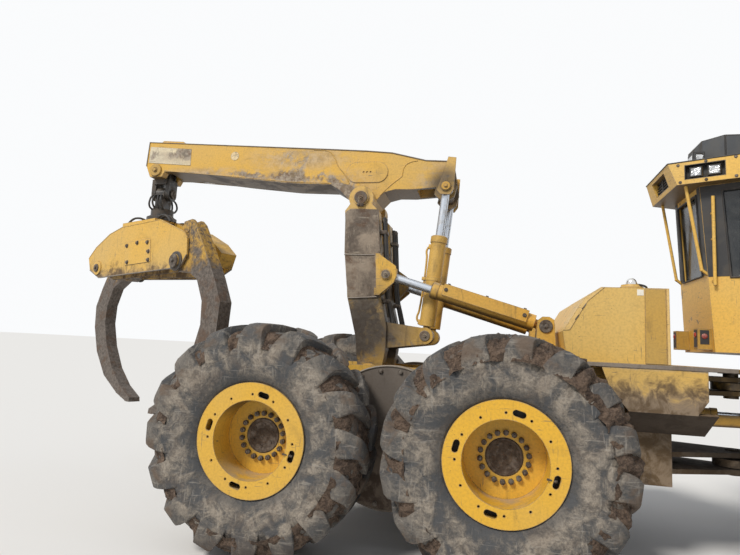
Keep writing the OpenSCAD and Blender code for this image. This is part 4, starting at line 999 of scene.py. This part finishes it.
forged = greasy_black("yoke_black", 1.0)
dress(forged, "yoke", "swing_block", "rotator")
dress(weathered("grapple_paint", worn=0.42, grime=0.40, mud_top=2.40, seed=10.0), "grapple_head")
patch_outline = [(-0.238, 2.690), (0.280, 2.696), (0.326, 2.436), (-0.185, 2.420)]
patch = outlined("housing_patch", patch_outline, -0.287, -housing_face, 0.004)
fit(both_halves(patch), plain_yellow, "grapple")
patch_spots = [(-0.175, 2.645), (0.036, 2.664), (0.240, 2.656), (0.275, 2.554), (0.285, 2.460),
               (-0.138, 2.455)]
patch_bolts = bolted("patch_bolts", 0.032, [((u, -0.287, z), (0, -1, 0)) for u, z in patch_spots])
caps = [pin_cap("pivot_cap", 0.069, 0.016, (pivot_u, -0.309, pivot_z), (0, -1, 0), 0.034),
        pin_cap("grip_pin_cap", 0.048, 0.012, (-pivot_u, -0.299, pivot_z), (0, -1, 0), 0.028)]
fit(both_halves(joined("head_fasteners", [patch_bolts] + caps)), bolt_steel, "grapple", "engine_iron")
for name, u, inner, outer, look in (("pivot", pivot_u, 0.071, 0.104, forged),
                                    ("grip", -pivot_u, 0.046, 0.086, plain_yellow)):
    profile = [(inner, 0), (outer, 0), (outer - 0.004, 0.014), (inner + 0.010, 0.018), (inner, 0.018)]
    boss = placed(turned(f"{name}_boss", profile, 40), facing((u, -housing_face, pivot_z), (0, -1, 0)))
    fit(both_halves(boss), look, "grapple")
lower_edge = [(0.965, 2.478), (0.868, 2.354), (-0.760, 2.304), (-0.986, 2.402)]
upper_edge = [(-1.046, 2.550), (-0.890, 2.676), (-0.600, 2.815), (-0.340, 2.875), (0.430, 2.891),
              (0.888, 2.719), (0.951, 2.650)]
for name, line, radius, look in (("lower", lower_edge, 0.007, worn_plate_and_shadow),
                                 ("upper", upper_edge, 0.005, plain_yellow)):
    weld = seam(f"housing_{name}_weld", [(u, -housing_face, z) for u, z in line], radius)
    fit(both_halves(weld), look, "grapple")
head_hoses = []
for i, v in enumerate((-0.085, -0.125)):
    route = [(0.130, v, 2.962), (0.215, v * 1.15, 2.985), (0.330, v * 1.30, 2.975),
             (0.420, v * 1.42, 2.935), (0.470, v * 1.46, 2.888)]
    head_hoses.append(tube(f"head_hose_{i}", route, 0.012))
route = [(-0.060, -0.150, 2.955), (-0.110, -0.215, 2.975), (-0.230, -0.240, 2.950), (-0.330, -0.235, 2.875)]
head_hoses.append(tube("head_hose_low", route, 0.012))
fit(both_halves(joined("head_hoses", head_hoses)), black_rubber, "grapple", "black_paint")
crown_spots = [((0.145 * math.cos(a), 0.145 * math.sin(a), 3.0043), (0, 0, 1)) for a in around(12)]
crown = placed(bolted("rotator_bolts", 0.016, crown_spots), head_frame)
fit(crown, bolt_steel, "grapple", "engine_iron")
yoke_caps = [pin_cap("yoke_cap", 0.052, 0.012, (tip_x + side * 0.1195, 0, 3.290), (side, 0, 0), 0.030)
             for side in (-1, 1)]
fit(joined("yoke_caps", yoke_caps), bolt_steel, "yoke", "engine_iron")
yoke_hoses = []
for i, y in enumerate((-0.050, 0.050)):
    x = 0.070
    route = [(tip_x + x, y, 3.60), (tip_x + x * 1.25, y * 1.10, 3.52),
             (tip_x + x * 1.15, y * 1.06, 3.42), (tip_x + x * 0.95, y * 1.03, 3.36)]
    yoke_hoses.append(tube(f"yoke_hose_{i}", route, 0.011))
fit(joined("yoke_hoses", yoke_hoses), black_rubber, "yoke", "black_paint")
swing_hoses = []
for i, x in enumerate((-0.042, -0.014, 0.014, 0.042)):
    bow = 0.150 + 0.020 * (i % 2)
    for side in (-1, 1):
        loop = [(tip_x + x, side * 0.074, 3.235), (tip_x + x * 1.3, side * 0.125, 3.245),
                (tip_x + x * 1.8, side * bow, 3.180), (tip_x + x * 1.9, side * 0.135, 3.115),
                (tip_x + x * 1.6, side * 0.100, 3.090)]
        swing_hoses.append(tube(f"swing_hose_{i}", loop, 0.011))
fit(joined("swing_hoses", swing_hoses), black_rubber, "swing_block", "black_paint")


def tong_finish():
    f = Finish("tong_steel")
    caked = f.cloud(6, 9, None, 0.5, 0.68)
    fine = f.cloud(34, 6, None, 0.2, 0.7)
    left = f.between(f.height() + (caked - 0.5) * 1.1, 2.32, 2.62)
    steel = f.blend(f.between(fine, 0.3, 0.7), (0.070, 0.055, 0.046), (0.185, 0.155, 0.130))
    steel = f.blend(f.between(caked, 0.5, 0.64) * 0.7, steel, (0.110, 0.062, 0.036))
    colour = f.blend(left * f.between(fine + caked, 0.80, 1.20), steel, (0.52, 0.31, 0.06))
    chip = f.between(f.edges(0.012), 0.3, 0.8)
    colour = f.blend(chip * 0.6, colour, (0.28, 0.25, 0.22))
    return f.close(colour, 0.50 + caked * 0.3, caked * 0.8 + fine * 0.4, 0.005, 0.35)


tong_steel = tong_finish()
dress(tong_steel, "tong_right", "tong_left")
tong_pivot = Matrix.Translation((pivot_u, 0, pivot_z))
bead_spots = [(0.245, -1.346), (0.130, -1.410), (0.010, -1.477), (-0.100, -1.517), (-0.200, -1.552)]
for side, turn in (("right", Matrix.Identity(4)), ("left", half_turn)):
    beads = []
    for i, (x, z) in enumerate(bead_spots):
        route = [(x, -0.246, z), (x + 0.006, -0.20, z - 0.003), (x - 0.004, -0.15, z), (x, -0.114, z)]
        beads.append(tube(f"tong_bead_{i}", route, 0.007))
    hard_facing = placed(joined(f"tong_hard_facing_{side}", beads), head_frame @ turn @ tong_pivot)
    fit(hard_facing, tong_steel, f"tong_{side}", "engine_iron")

# Cab: shell, roof, glass, doors and what shows through the glass.
# Pressed and welded sheet in yellow, with tinted glass in black rubber, a bolted roof fascia with
# lamps let into it, and black fittings inside and below.
cab_rear = 2.620
rear_lean = 0.080
floor_z = 1.750
window_top = 3.158
eaves_z = 3.218
fascia_top = 3.424
flare_frame = Matrix.Translation((cab_rear, -0.332, 0)) @ Matrix.Rotation(math.atan2(-0.518, 0.965), 4, "Z")
fascia_frame = Matrix.Translation((2.357, -0.350, 0)) @ Matrix.Rotation(math.atan2(-0.500, 1.043), 4, "Z")


def rear_wall(z):
    return cab_rear + rear_lean * (eaves_z - z) / (eaves_z - floor_z)


def seal(name, loop, radius):
    """A bead with sharp corners round a closed loop"""
    return tube(name, loop, radius, True, "VECTOR")


def glass_finish(name="cab_glass_tint", clear=0.28):
    f = Finish(name)
    film = f.cloud(4, 8, None, 0.4, 0.62)
    wiped = f.between(film, 0.40, 0.68)
    colour = f.blend(wiped * 0.35, (0.012, 0.016, 0.020), (0.150, 0.145, 0.130))
    f.shader.inputs["Alpha"].default_value = 1.0 - clear
    return f.close(colour, 0.05 + wiped * 0.30, None, 0.001, None, Coat_Weight=0.4, Coat_Roughness=0.04)


def lens_finish(name="lamp_lens", glass=(0.72, 0.74, 0.76), metal=0.6):
    f = Finish(name)
    ribs = f.cells(75)
    dusty = f.between(f.cloud(14, 6), 0.45, 0.7)
    shade = f.between(f.cloud(16, 3), 0.35, 0.65)
    colour = f.blend(shade, [c * 0.45 for c in glass], glass)
    colour = f.blend(dusty * 0.30, colour, (0.36, 0.30, 0.22))
    return f.close(colour, 0.12 + dusty * 0.35, ribs, 0.003, metal, Coat_Weight=0.8, Coat_Roughness=0.05)


cab_yellow = weathered("cab_paint", (0.74, 0.44, 0.075), (0.68, 0.44, 0.120), 0.20, 0.18, 0.0, 11.0)
dress(cab_yellow, "cab_shell", "cab_roof", "door_right", "door_left", "rear_bars")
dress(glass_finish(), "cab_glass")
dress(black_trim("cab_black", 1.0), "roof_unit", "seat")
dress(black_trim("step_black", 2.0, (0.035, 0.031, 0.027), (0.190, 0.155, 0.118), 0.85), "cab_rails")
dress(weathered("lamp_housing", (0.50, 0.29, 0.045), (0.42, 0.27, 0.07), 0.5, 0.6, 0.0, 27.0), "lamps")

flare_window = [(0.2214, 2.390), (1.0253, 2.390), (1.0253, window_top), (0.174, window_top)]
top_band = [(0.006, 3.150), (1.075, 3.150), (1.075, 3.214), (0.002, 3.214)]
rear_band = [(0.053, 2.400), (0.216, 2.400), (0.170, window_top), (0.007, window_top)]
bands = [outlined("band", corners, -0.004, 0.001, 0.001)
         for corners in (top_band, rear_band, oblong(1.030, 2.400, 1.075, window_top))]
bands.append(seal("flare_seal", [(u, -0.003, z) for u, z in flare_window], 0.012))
flare_bands = placed(joined("flare_bands", bands), flare_frame)
wall_turn = Matrix.Rotation(-math.atan2(rear_lean, eaves_z - floor_z), 4, "Y")
wall_frame = Matrix.Translation((cab_rear, 0, eaves_z)) @ wall_turn @ Matrix.Rotation(math.pi / 2, 4, "Z")
# a black band on the rear wall beside its corner: painted shade of the rear wall
rear_wall_shade_band = [(-0.354, -0.798), (-0.262, -0.798), (-0.262, -0.004), (-0.330, -0.004)]
corner = placed(outlined("rear_wall_shade_band", rear_wall_shade_band, -0.001, 0.003, 0.001), wall_frame)
rear_loop = [(rear_wall(z) - 0.003, y, z) for y, z in oblong(-0.25, 2.42, 0.25, window_top)]
front_loop = [(4.381, y, z) for y, z in oblong(-0.74, 2.19, 0.74, 3.148)]
door_loop = [(x, -0.851, z) for x, z in oblong(3.628, 1.820, 4.336, 3.162)]
seals = [both_sides(flare_bands), both_sides(corner), seal("rear_seal", rear_loop, 0.012),
         seal("front_seal", front_loop, 0.012), both_sides(seal("door_seal", door_loop, 0.006))]
fit(joined("cab_seals", seals), black_rubber, "front_frame", "black_paint")

# roof fascia: its bolts, joints, lamps and the grille at the back
fascia_spots = [(0.085, 3.396), (0.300, 3.404), (0.520, 3.406), (0.800, 3.404), (1.080, 3.404),
                (0.100, 3.238), (0.300, 3.238), (0.520, 3.238), (0.800, 3.238), (1.080, 3.238)]
fascia_bolts = bolted("fascia_bolts", 0.018, [((u, 0, z), (0, -1, 0)) for u, z in fascia_spots])
fit(both_sides(placed(fascia_bolts, fascia_frame)), bolt_steel, "front_frame", "engine_iron")
joints = [seam("fascia_joint", [(u, 0.0015, 3.221), (u, 0.0015, fascia_top)], 0.003) for u in (0.560, 1.120)]
liner = [block("liner", low, high, 0.001) for low, high in (
    ((0.136, 0.054, 3.259), (0.444, 0.0595, 3.389)), ((0.1355, -0.001, 3.259), (0.140, 0.058, 3.389)),
    ((0.440, -0.001, 3.259), (0.4445, 0.058, 3.389)), ((0.136, -0.001, 3.2585), (0.444, 0.058, 3.263)),
    ((0.136, -0.001, 3.385), (0.444, 0.058, 3.3895)))]
frames = [seal("lamp_frame", [(x, 0.018, z) for x, z in oblong(u, 3.283, u + 0.090, 3.365)], 0.007)
          for u in (0.175, 0.315)]
recess = both_sides(placed(joined("lamp_recess", joints + liner + frames), fascia_frame))
rear_slats = [block("roof_slat", (2.418, -0.188, z), (2.456, 0.188, z + 0.010), 0.002)
              for z in (3.262, 3.290, 3.318, 3.346, 3.374)]
rear_slats.append(block("roof_slat_mid", (2.410, -0.006, 3.260), (2.450, 0.006, 3.386), 0.002))
edge_half = [(2.357, -0.350), (3.400, -0.850), (4.480, -0.850)]
roof_edge = edge_half + [(x, -y) for x, y in reversed(edge_half)]
edge_bead = seal("roof_edge_bead", [(x, y, fascia_top) for x, y in roof_edge], 0.006)
fit(joined("roof_black", [recess, edge_bead] + rear_slats), black_rubber, "front_frame", "black_paint")
silver_lens = lens_finish()
lenses = [outlined("roof_lens", oblong(u, 3.285, u + 0.086, 3.363), 0.012, 0.021, 0.006)
          for u in (0.177, 0.317)]
box_lens = outlined("box_lens", oblong(2.612, 3.446, 2.668, 3.530), -0.296, -0.289, 0.004)
to_back = Matrix.Translation((2.588, 0, 0)) @ Matrix.Rotation(-math.pi / 2, 4, "Z")
to_nose = Matrix.Translation((5.540, 0, 0)) @ Matrix.Rotation(math.pi / 2, 4, "Z")
back_lens = outlined("back_lens", oblong(0.168, 3.446, 0.272, 3.530), -0.004, 0.003, 0.004)
nose_lens = outlined("nose_lens", oblong(-0.402, 2.372, -0.318, 2.446), -0.004, 0.003, 0.004)
lamp_faces = [placed(joined("roof_lenses", lenses), fascia_frame), box_lens, placed(back_lens, to_back),
              placed(nose_lens, to_nose)]
lamp_lenses = joined("lamp_lenses", [both_sides(face) for face in lamp_faces])
fit(lamp_lenses, silver_lens, "front_frame", "lamp_plastic")
panel_steel = black_trim("grey_panel", 7.0, (0.060, 0.066, 0.074), (0.150, 0.145, 0.135), 0.4)
chamfer = Matrix.Translation((2.700, -0.180, 0)) @ Matrix.Rotation(math.atan2(-0.150, 0.140), 4, "Z")
panels = [placed(outlined("unit_panel", oblong(0.006, 3.432, 0.199, 3.688), -0.005, 0.001), chamfer)]
panels += [outlined("unit_side", oblong(rear, 3.436, fore, 3.684), -0.334, -0.329)
           for rear, fore in ((2.850, 3.400), (3.420, 4.130))]
panels.append(seal("box_frame", [(x, -0.292, z) for x, z in oblong(2.604, 3.438, 2.676, 3.540)], 0.007))
fit(both_sides(joined("roof_unit_panels", panels)), panel_steel, "front_frame", "black_paint")

# tail lamps: black plates in the lamp pockets, painted shade inside them, with a small red lens
pocket_shade = outlined("lamp_pocket_shade", oblong(2.600, 1.815, 2.672, 1.938), -0.3300, -0.3265, 0.001)
pocket_back_shade = outlined("lamp_pocket_back_shade", oblong(0.247, 1.790, 0.317, 1.938), -0.003, 0.001, 0.001)
placed(pocket_back_shade, Matrix.Translation((2.580, 0, 0)) @ Matrix.Rotation(-math.pi / 2, 4, "Z"))
pocket_shades = joined("tail_lamp_pocket_shades", [pocket_shade, pocket_back_shade])
fit(both_sides(pocket_shades), black_rubber, "front_frame", "black_paint")
dome = turned("red_dome", [(0, 0), (0.024, 0), (0.023, 0.005), (0.014, 0.010), (0, 0.012)], 24)
red_spots = [((2.634, -0.330, 1.885), (0, -1, 0), 0), ((2.577, -0.282, 1.895), (-1, 0, 0), 0)]
red_lenses = both_sides(scattered("red_lenses", dome, red_spots))
fit(red_lenses, lens_finish("red_lens", (0.50, 0.035, 0.025), 0.0), "front_frame", "lamp_plastic")

# inside: steering column and wheel, dash, levers and floor mat
bpy.ops.mesh.primitive_torus_add(major_radius=0.200, minor_radius=0.014, major_segments=40, minor_segments=10)
steering = bpy.context.object
steering.name = "steering_wheel"
spokes = []
for a in (0.5, 2.6, 4.7):
    route = [(r * math.cos(a), r * math.sin(a), z) for r, z in ((0, -0.03), (0.10, -0.02), (0.196, 0))]
    spokes.append(tube("spoke", route, 0.010))
hub = turned("steering_hub", [(0, -0.05), (0.035, -0.05), (0.045, -0.02), (0.030, -0.005), (0, 0)], 20)
steering = placed(joined("steering_wheel", [steering, hub] + spokes),
                  facing((4.045, 0, 2.520), (-0.55, 0, 1.0)))
column_route = [(4.060, 0, 2.490), (4.120, 0, 2.300), (4.170, 0, 2.000), (4.180, 0, 1.800)]
column = tube("steering_column", column_route, 0.034)
dash = outlined("dash", [(4.200, 1.795), (4.325, 1.795), (4.325, 2.175), (4.190, 2.175), (4.150, 2.120)],
                -0.60, 0.60, 0.012)
grip_profile = [(0, 0), (0.018, 0), (0.026, 0.03), (0.024, 0.075), (0.012, 0.09), (0, 0.092)]
levers = [tube("lever", [(3.940, y, 2.390), (3.935, y, 2.450), (3.925, y, 2.500)], 0.011)
          for y in (-0.33, 0.33)]
knobs = [placed(turned("lever_grip", grip_profile, 16), Matrix.Translation((3.925, y, 2.495)))
         for y in (-0.33, 0.33)]
mat = block("floor_mat", (2.95, -0.46, 1.791), (4.18, 0.46, 1.800), 0.002)
cushions = [block("seat_pad", (3.440, -0.230, 2.215), (3.960, 0.230, 2.262), 0.020),
            block("seat_back", (3.492, -0.225, 2.300), (3.540, 0.225, 2.820), 0.020)]
fit(joined("cab_inside", [steering, column, dash, mat] + levers + knobs + cushions),
    black_trim("cab_inside_black", 9.0), "front_frame", "black_paint")

door_tint = glass_finish("door_glass_tint", 0.0)
for side, mirror in (("right", Matrix.Identity(4)), ("left", Matrix.Scale(-1, 4, (0, 1, 0)))):
    opening = oblong(3.731, 2.331, 4.229, 3.059)
    panes = [outlined(f"pane_{y}", opening, -y - 0.002, -y + 0.002, 0.0005) for y in (0.8315, 0.8185)]
    fit(placed(joined(f"door_glass_{side}", panes), mirror), door_tint, f"door_{side}", "glass")
    window = [(x, -0.852, z) for x, z in oblong(3.730, 2.330, 4.230, 3.060)]
    grab = [(4.270, y, z) for y, z in ((-0.850, 2.200), (-0.886, 2.190), (-0.886, 2.080), (-0.850, 2.070))]
    trim = [seal("door_window_seal", window, 0.011), tube("door_handle", grab, 0.009),
            outlined("door_latch", oblong(4.250, 2.052, 4.292, 2.216), -0.857, -0.849)]
    fit(placed(joined(f"door_trim_{side}", trim), mirror), black_rubber, f"door_{side}", "black_paint")
    press = [(x, -0.8505, z) for x, z in oblong(3.740, 1.900, 4.220, 2.250)]
    pressing = placed(seal(f"door_pressing_{side}", press, 0.005), mirror)
    fit(pressing, cab_yellow, f"door_{side}")
wiper = [tube("wiper_arm", [(4.395, 0.05, 3.120), (4.412, 0.12, 2.95), (4.402, 0.22, 2.72)], 0.008),
         outlined("wiper_blade", oblong(-0.010, -0.32, 0.002, 0.32), -0.006, 0.006, 0.002)]
placed(wiper[1], Matrix.Translation((4.398, 0.20, 2.76)) @ Matrix.Rotation(0.30, 4, "X"))
fit(joined("windscreen_wiper", wiper), black_rubber, "front_frame", "black_paint")
treads = [block("step_tread", (3.385 + 0.05 * i, -0.846, z), (3.400 + 0.05 * i, -0.624, z + 0.006), 0.001)
          for z in (0.929, 1.209, 1.479) for i in range(7)]
fit(both_sides(joined("step_treads", treads)), worn_plate_and_shadow, "front_frame", "engine_iron")

# Hood, engine and exhaust.
# Yellow sheet over the engine, with black grilles at the sides and the front, latches along its foot
# and a heat-stained exhaust stack through the top.


def iron_finish():
    f = Finish("engine_iron")
    oil = f.cloud(7, 8, None, 0.4, 0.65)
    fine = f.cloud(50, 5)
    colour = f.blend(f.between(oil, 0.35, 0.65), (0.045, 0.041, 0.037), (0.155, 0.130, 0.105))
    return f.close(colour, 0.40 + fine * 0.3, fine * 0.6 + oil * 0.5, 0.004, 0.4)


def stack_finish():
    f = Finish("exhaust_steel")
    heat = f.cloud(6, 6, f.moved((0, 0, 0), (1, 1, 0.5)), 0.4)
    fine = f.cloud(60, 5)
    colour = f.blend(f.between(heat, 0.35, 0.65), (0.060, 0.050, 0.045), (0.170, 0.090, 0.050))
    return f.close(colour, 0.55 + fine * 0.2, fine, 0.002, 0.55)


hood_yellow = weathered("hood_paint", worn=0.25, grime=0.30, mud_top=1.45, seed=12.0)
stack_steel = stack_finish()
dress(hood_yellow, "hood")
dress(black_trim("grille_black", 3.0), "grilles")
dress(iron_finish(), "engine_block")
dress(stack_steel, "exhaust_stack")
bright = Finish("bright_cap")
cap_dust = bright.between(bright.cloud(22, 6), 0.42, 0.66)
cap_colour = bright.blend(cap_dust * 0.5, (0.74, 0.73, 0.71), (0.36, 0.30, 0.23))
bright_steel = bright.close(cap_colour, 0.16 + cap_dust * 0.4, cap_dust, 0.001, 1.0 - cap_dust * 0.4)
dress(bright_steel, "fuel_cap")

hood_side = 0.5605
side_seams = [seam("hood_seam", [(x, -hood_side, 1.520), (x, -hood_side, top)], 0.004)
              for x, top in ((4.660, 2.415), (5.520, 2.350))]
grille_edge = [(x, -hood_side, z) for x, z in oblong(4.690, 1.740, 5.460, 2.210)]
side_seams.append(seal("grille_frame", grille_edge, 0.009))
nose_edge = [(5.701, y, z) for y, z in oblong(-0.432, 1.608, 0.432, 2.132)]
nose_frame = seal("nose_frame", nose_edge, 0.010)
hood_seams = joined("hood_seams", [both_sides(joined("hood_side_seams", side_seams)), nose_frame])
fit(hood_seams, hood_yellow, "front_frame")
latches = [block("latch", (x - 0.030, -0.572, 1.545), (x + 0.030, -0.559, 1.625)) for x in (4.80, 5.35)]
for x in (4.80, 5.35):
    grip = [(x - 0.020, -0.572, 1.600), (x - 0.018, -0.590, 1.585), (x + 0.018, -0.590, 1.585),
            (x + 0.020, -0.572, 1.600)]
    latches.append(tube("latch_grip", grip, 0.006))
latches += [block("hood_hinge", (4.440, -0.573, z), (4.500, -0.559, z + 0.090)) for z in (1.60, 2.20)]
fit(both_sides(joined("hood_latches", latches)), black_rubber, "front_frame", "black_paint")
hood_spots = [((x, -hood_side, z), (0, -1, 0)) for x in (4.420, 4.600, 5.590) for z in (1.545, 1.900, 2.300)]
fit(both_sides(bolted("hood_bolts", 0.018, hood_spots)), bolt_steel, "front_frame", "engine_iron")
bands = []
for z in (2.47, 2.66, 2.855):
    band = turned("stack_band", [(0.060, 0), (0.066, 0.002), (0.066, 0.028), (0.060, 0.030)])
    bands.append(placed(band, Matrix.Translation((4.750, 0.330, z))))
flap = turned("rain_flap", [(0, 0), (0.052, 0), (0.052, 0.005), (0.020, 0.009), (0, 0.009)], 28)
flap_hinge = Matrix.Translation((4.703, 0.330, 3.060)) @ Matrix.Rotation(math.radians(-38), 4, "Y")
placed(flap, flap_hinge @ Matrix.Translation((0.050, 0, 0)))
fit(joined("stack_fittings", bands + [flap]), stack_steel, "front_frame", "exhaust_steel")
cap_profile = [(0, 0), (0.050, 0), (0.050, 0.018), (0.038, 0.024), (0.038, 0.040), (0.030, 0.046), (0, 0.046)]
cap = turned("radiator_cap", cap_profile, 28)
fit(placed(cap, Matrix.Translation((5.30, 0, 2.366))), bolt_steel, "front_frame", "engine_iron")

# Blade at the front.
# A curved steel blade on two arms, yellow at the back and scoured at its front and cutting edge,
# which is a bolted-on strip of hard steel.
blade_scour = (((6.02, 0, 0.45), (0.12, 1.6, 0.35)),)
dress(weathered("blade_paint", worn=0.95, grime=0.6, mud_top=0.75, seed=13.0, scoured=blade_scour), "blade")
edge_section = [(5.990, 0.222), (6.034, 0.236), (6.010, 0.385), (5.994, 0.388)]
edge = outlined("cutting_edge", edge_section, -1.440, 1.440, 0.004)
fit(edge, scoured_steel, "blade", "engine_iron")
edge_spots = [((6.018, -1.35 + 2.70 * i / 13, 0.325), (1, 0, 0.15)) for i in range(14)]
edge_bolts = bolted("edge_bolts", 0.034, edge_spots)
arm_caps = both_sides(pin_cap("blade_pin_cap", 0.056, 0.012, (5.330, -0.504, 0.800), (0, -1, 0), 0.030))
eye_caps = [pin_cap("blade_eye_cap", 0.032, 0.008, (5.850, -y, 1.010), (0, -s, 0), 0.020)
            for y, s in ((0.322, 1), (0.178, -1))]
blade_fasteners = joined("blade_fasteners", [edge_bolts, both_sides(joined("blade_eye_caps", eye_caps))])
fit(blade_fasteners, bolt_steel, "blade", "engine_iron")
fit(arm_caps, bolt_steel, "front_frame", "engine_iron")
rib_section = [(5.984, 0.240), (5.902, 0.502), (5.888, 0.750), (5.922, 0.998), (5.984, 1.140),
               (5.930, 1.100), (5.868, 0.990), (5.838, 0.750), (5.852, 0.490), (5.940, 0.260)]
ribs = [outlined("blade_rib", rib_section, y, y + 0.020) for y in (-1.38, -0.92, 0.90, 1.36)]
fit(joined("blade_ribs", ribs), plain_yellow, "blade")

# Studio: floor, light and the camera.
# A plain pale floor, one broad soft lamp from the upper left and an even sky.
bpy.ops.mesh.primitive_plane_add(size=400, location=(0, 0, 0))
floor = bpy.context.object
floor.name = "studio_floor"
floor_finish = bpy.data.materials.new("floor_pale")
floor_finish.use_nodes = True
tree = floor_finish.node_tree
tree.nodes.clear()
out = tree.nodes.new("ShaderNodeOutputMaterial")
plain = tree.nodes.new("ShaderNodeBsdfDiffuse")
plain.inputs["Color"].default_value = (0.80, 0.79, 0.77, 1)
tree.links.new(plain.outputs[0], out.inputs[0])
floor.data.materials.append(floor_finish)

sun = bpy.data.lights.new("studio_sun", "SUN")
sun.energy = 2.6
sun.angle = math.radians(14)
sun.color = (1.0, 0.965, 0.91)
sun_stand = bpy.data.objects.new("studio_sun", sun)
bpy.context.scene.collection.objects.link(sun_stand)
sun_stand.rotation_mode = "QUATERNION"
sun_stand.rotation_quaternion = Vector((-0.55, -0.85, 1.0)).to_track_quat("Z", "Y")

world = bpy.data.worlds.new("studio_sky")
bpy.context.scene.world = world
world.use_nodes = True
tree = world.node_tree
tree.nodes.clear()
out = tree.nodes.new("ShaderNodeOutputWorld")
seen = tree.nodes.new("ShaderNodeBackground")
seen.inputs[0].default_value = (0.96, 0.97, 0.98, 1)
seen.inputs[1].default_value = 1.0
light = tree.nodes.new("ShaderNodeBackground")
light.inputs[0].default_value = (0.90, 0.94, 1.0, 1)
light.inputs[1].default_value = 0.50
path = tree.nodes.new("ShaderNodeLightPath")
either = tree.nodes.new("ShaderNodeMath")
either.operation = "MAXIMUM"
also = tree.nodes.new("ShaderNodeMath")
also.operation = "MAXIMUM"
tree.links.new(path.outputs["Is Camera Ray"], either.inputs[0])
tree.links.new(path.outputs["Is Glossy Ray"], either.inputs[1])
tree.links.new(either.outputs[0], also.inputs[0])
tree.links.new(path.outputs["Is Transmission Ray"], also.inputs[1])
choice = tree.nodes.new("ShaderNodeMixShader")
tree.links.new(also.outputs[0], choice.inputs[0])
tree.links.new(light.outputs[0], choice.inputs[1])
tree.links.new(seen.outputs[0], choice.inputs[2])
tree.links.new(choice.outputs[0], out.inputs[0])

camera = bpy.data.cameras.new("camera")
camera.sensor_width = 36
camera.lens = 27.0
camera.clip_end = 1000
stand = bpy.data.objects.new("camera", camera)
bpy.context.scene.collection.objects.link(stand)
right = Vector((0.9765, 0.2097, 0.0499))
up = Vector((-0.0225, -0.131, 0.9911))
back = Vector((0.2143, -0.969, -0.1232))
aim = Matrix((right, up, back)).transposed().to_4x4()
stand.matrix_world = Matrix.Translation((-0.063, -5.653, 1.653)) @ aim
bpy.context.scene.camera = stand
bpy.context.scene.view_settings.view_transform = "Standard"
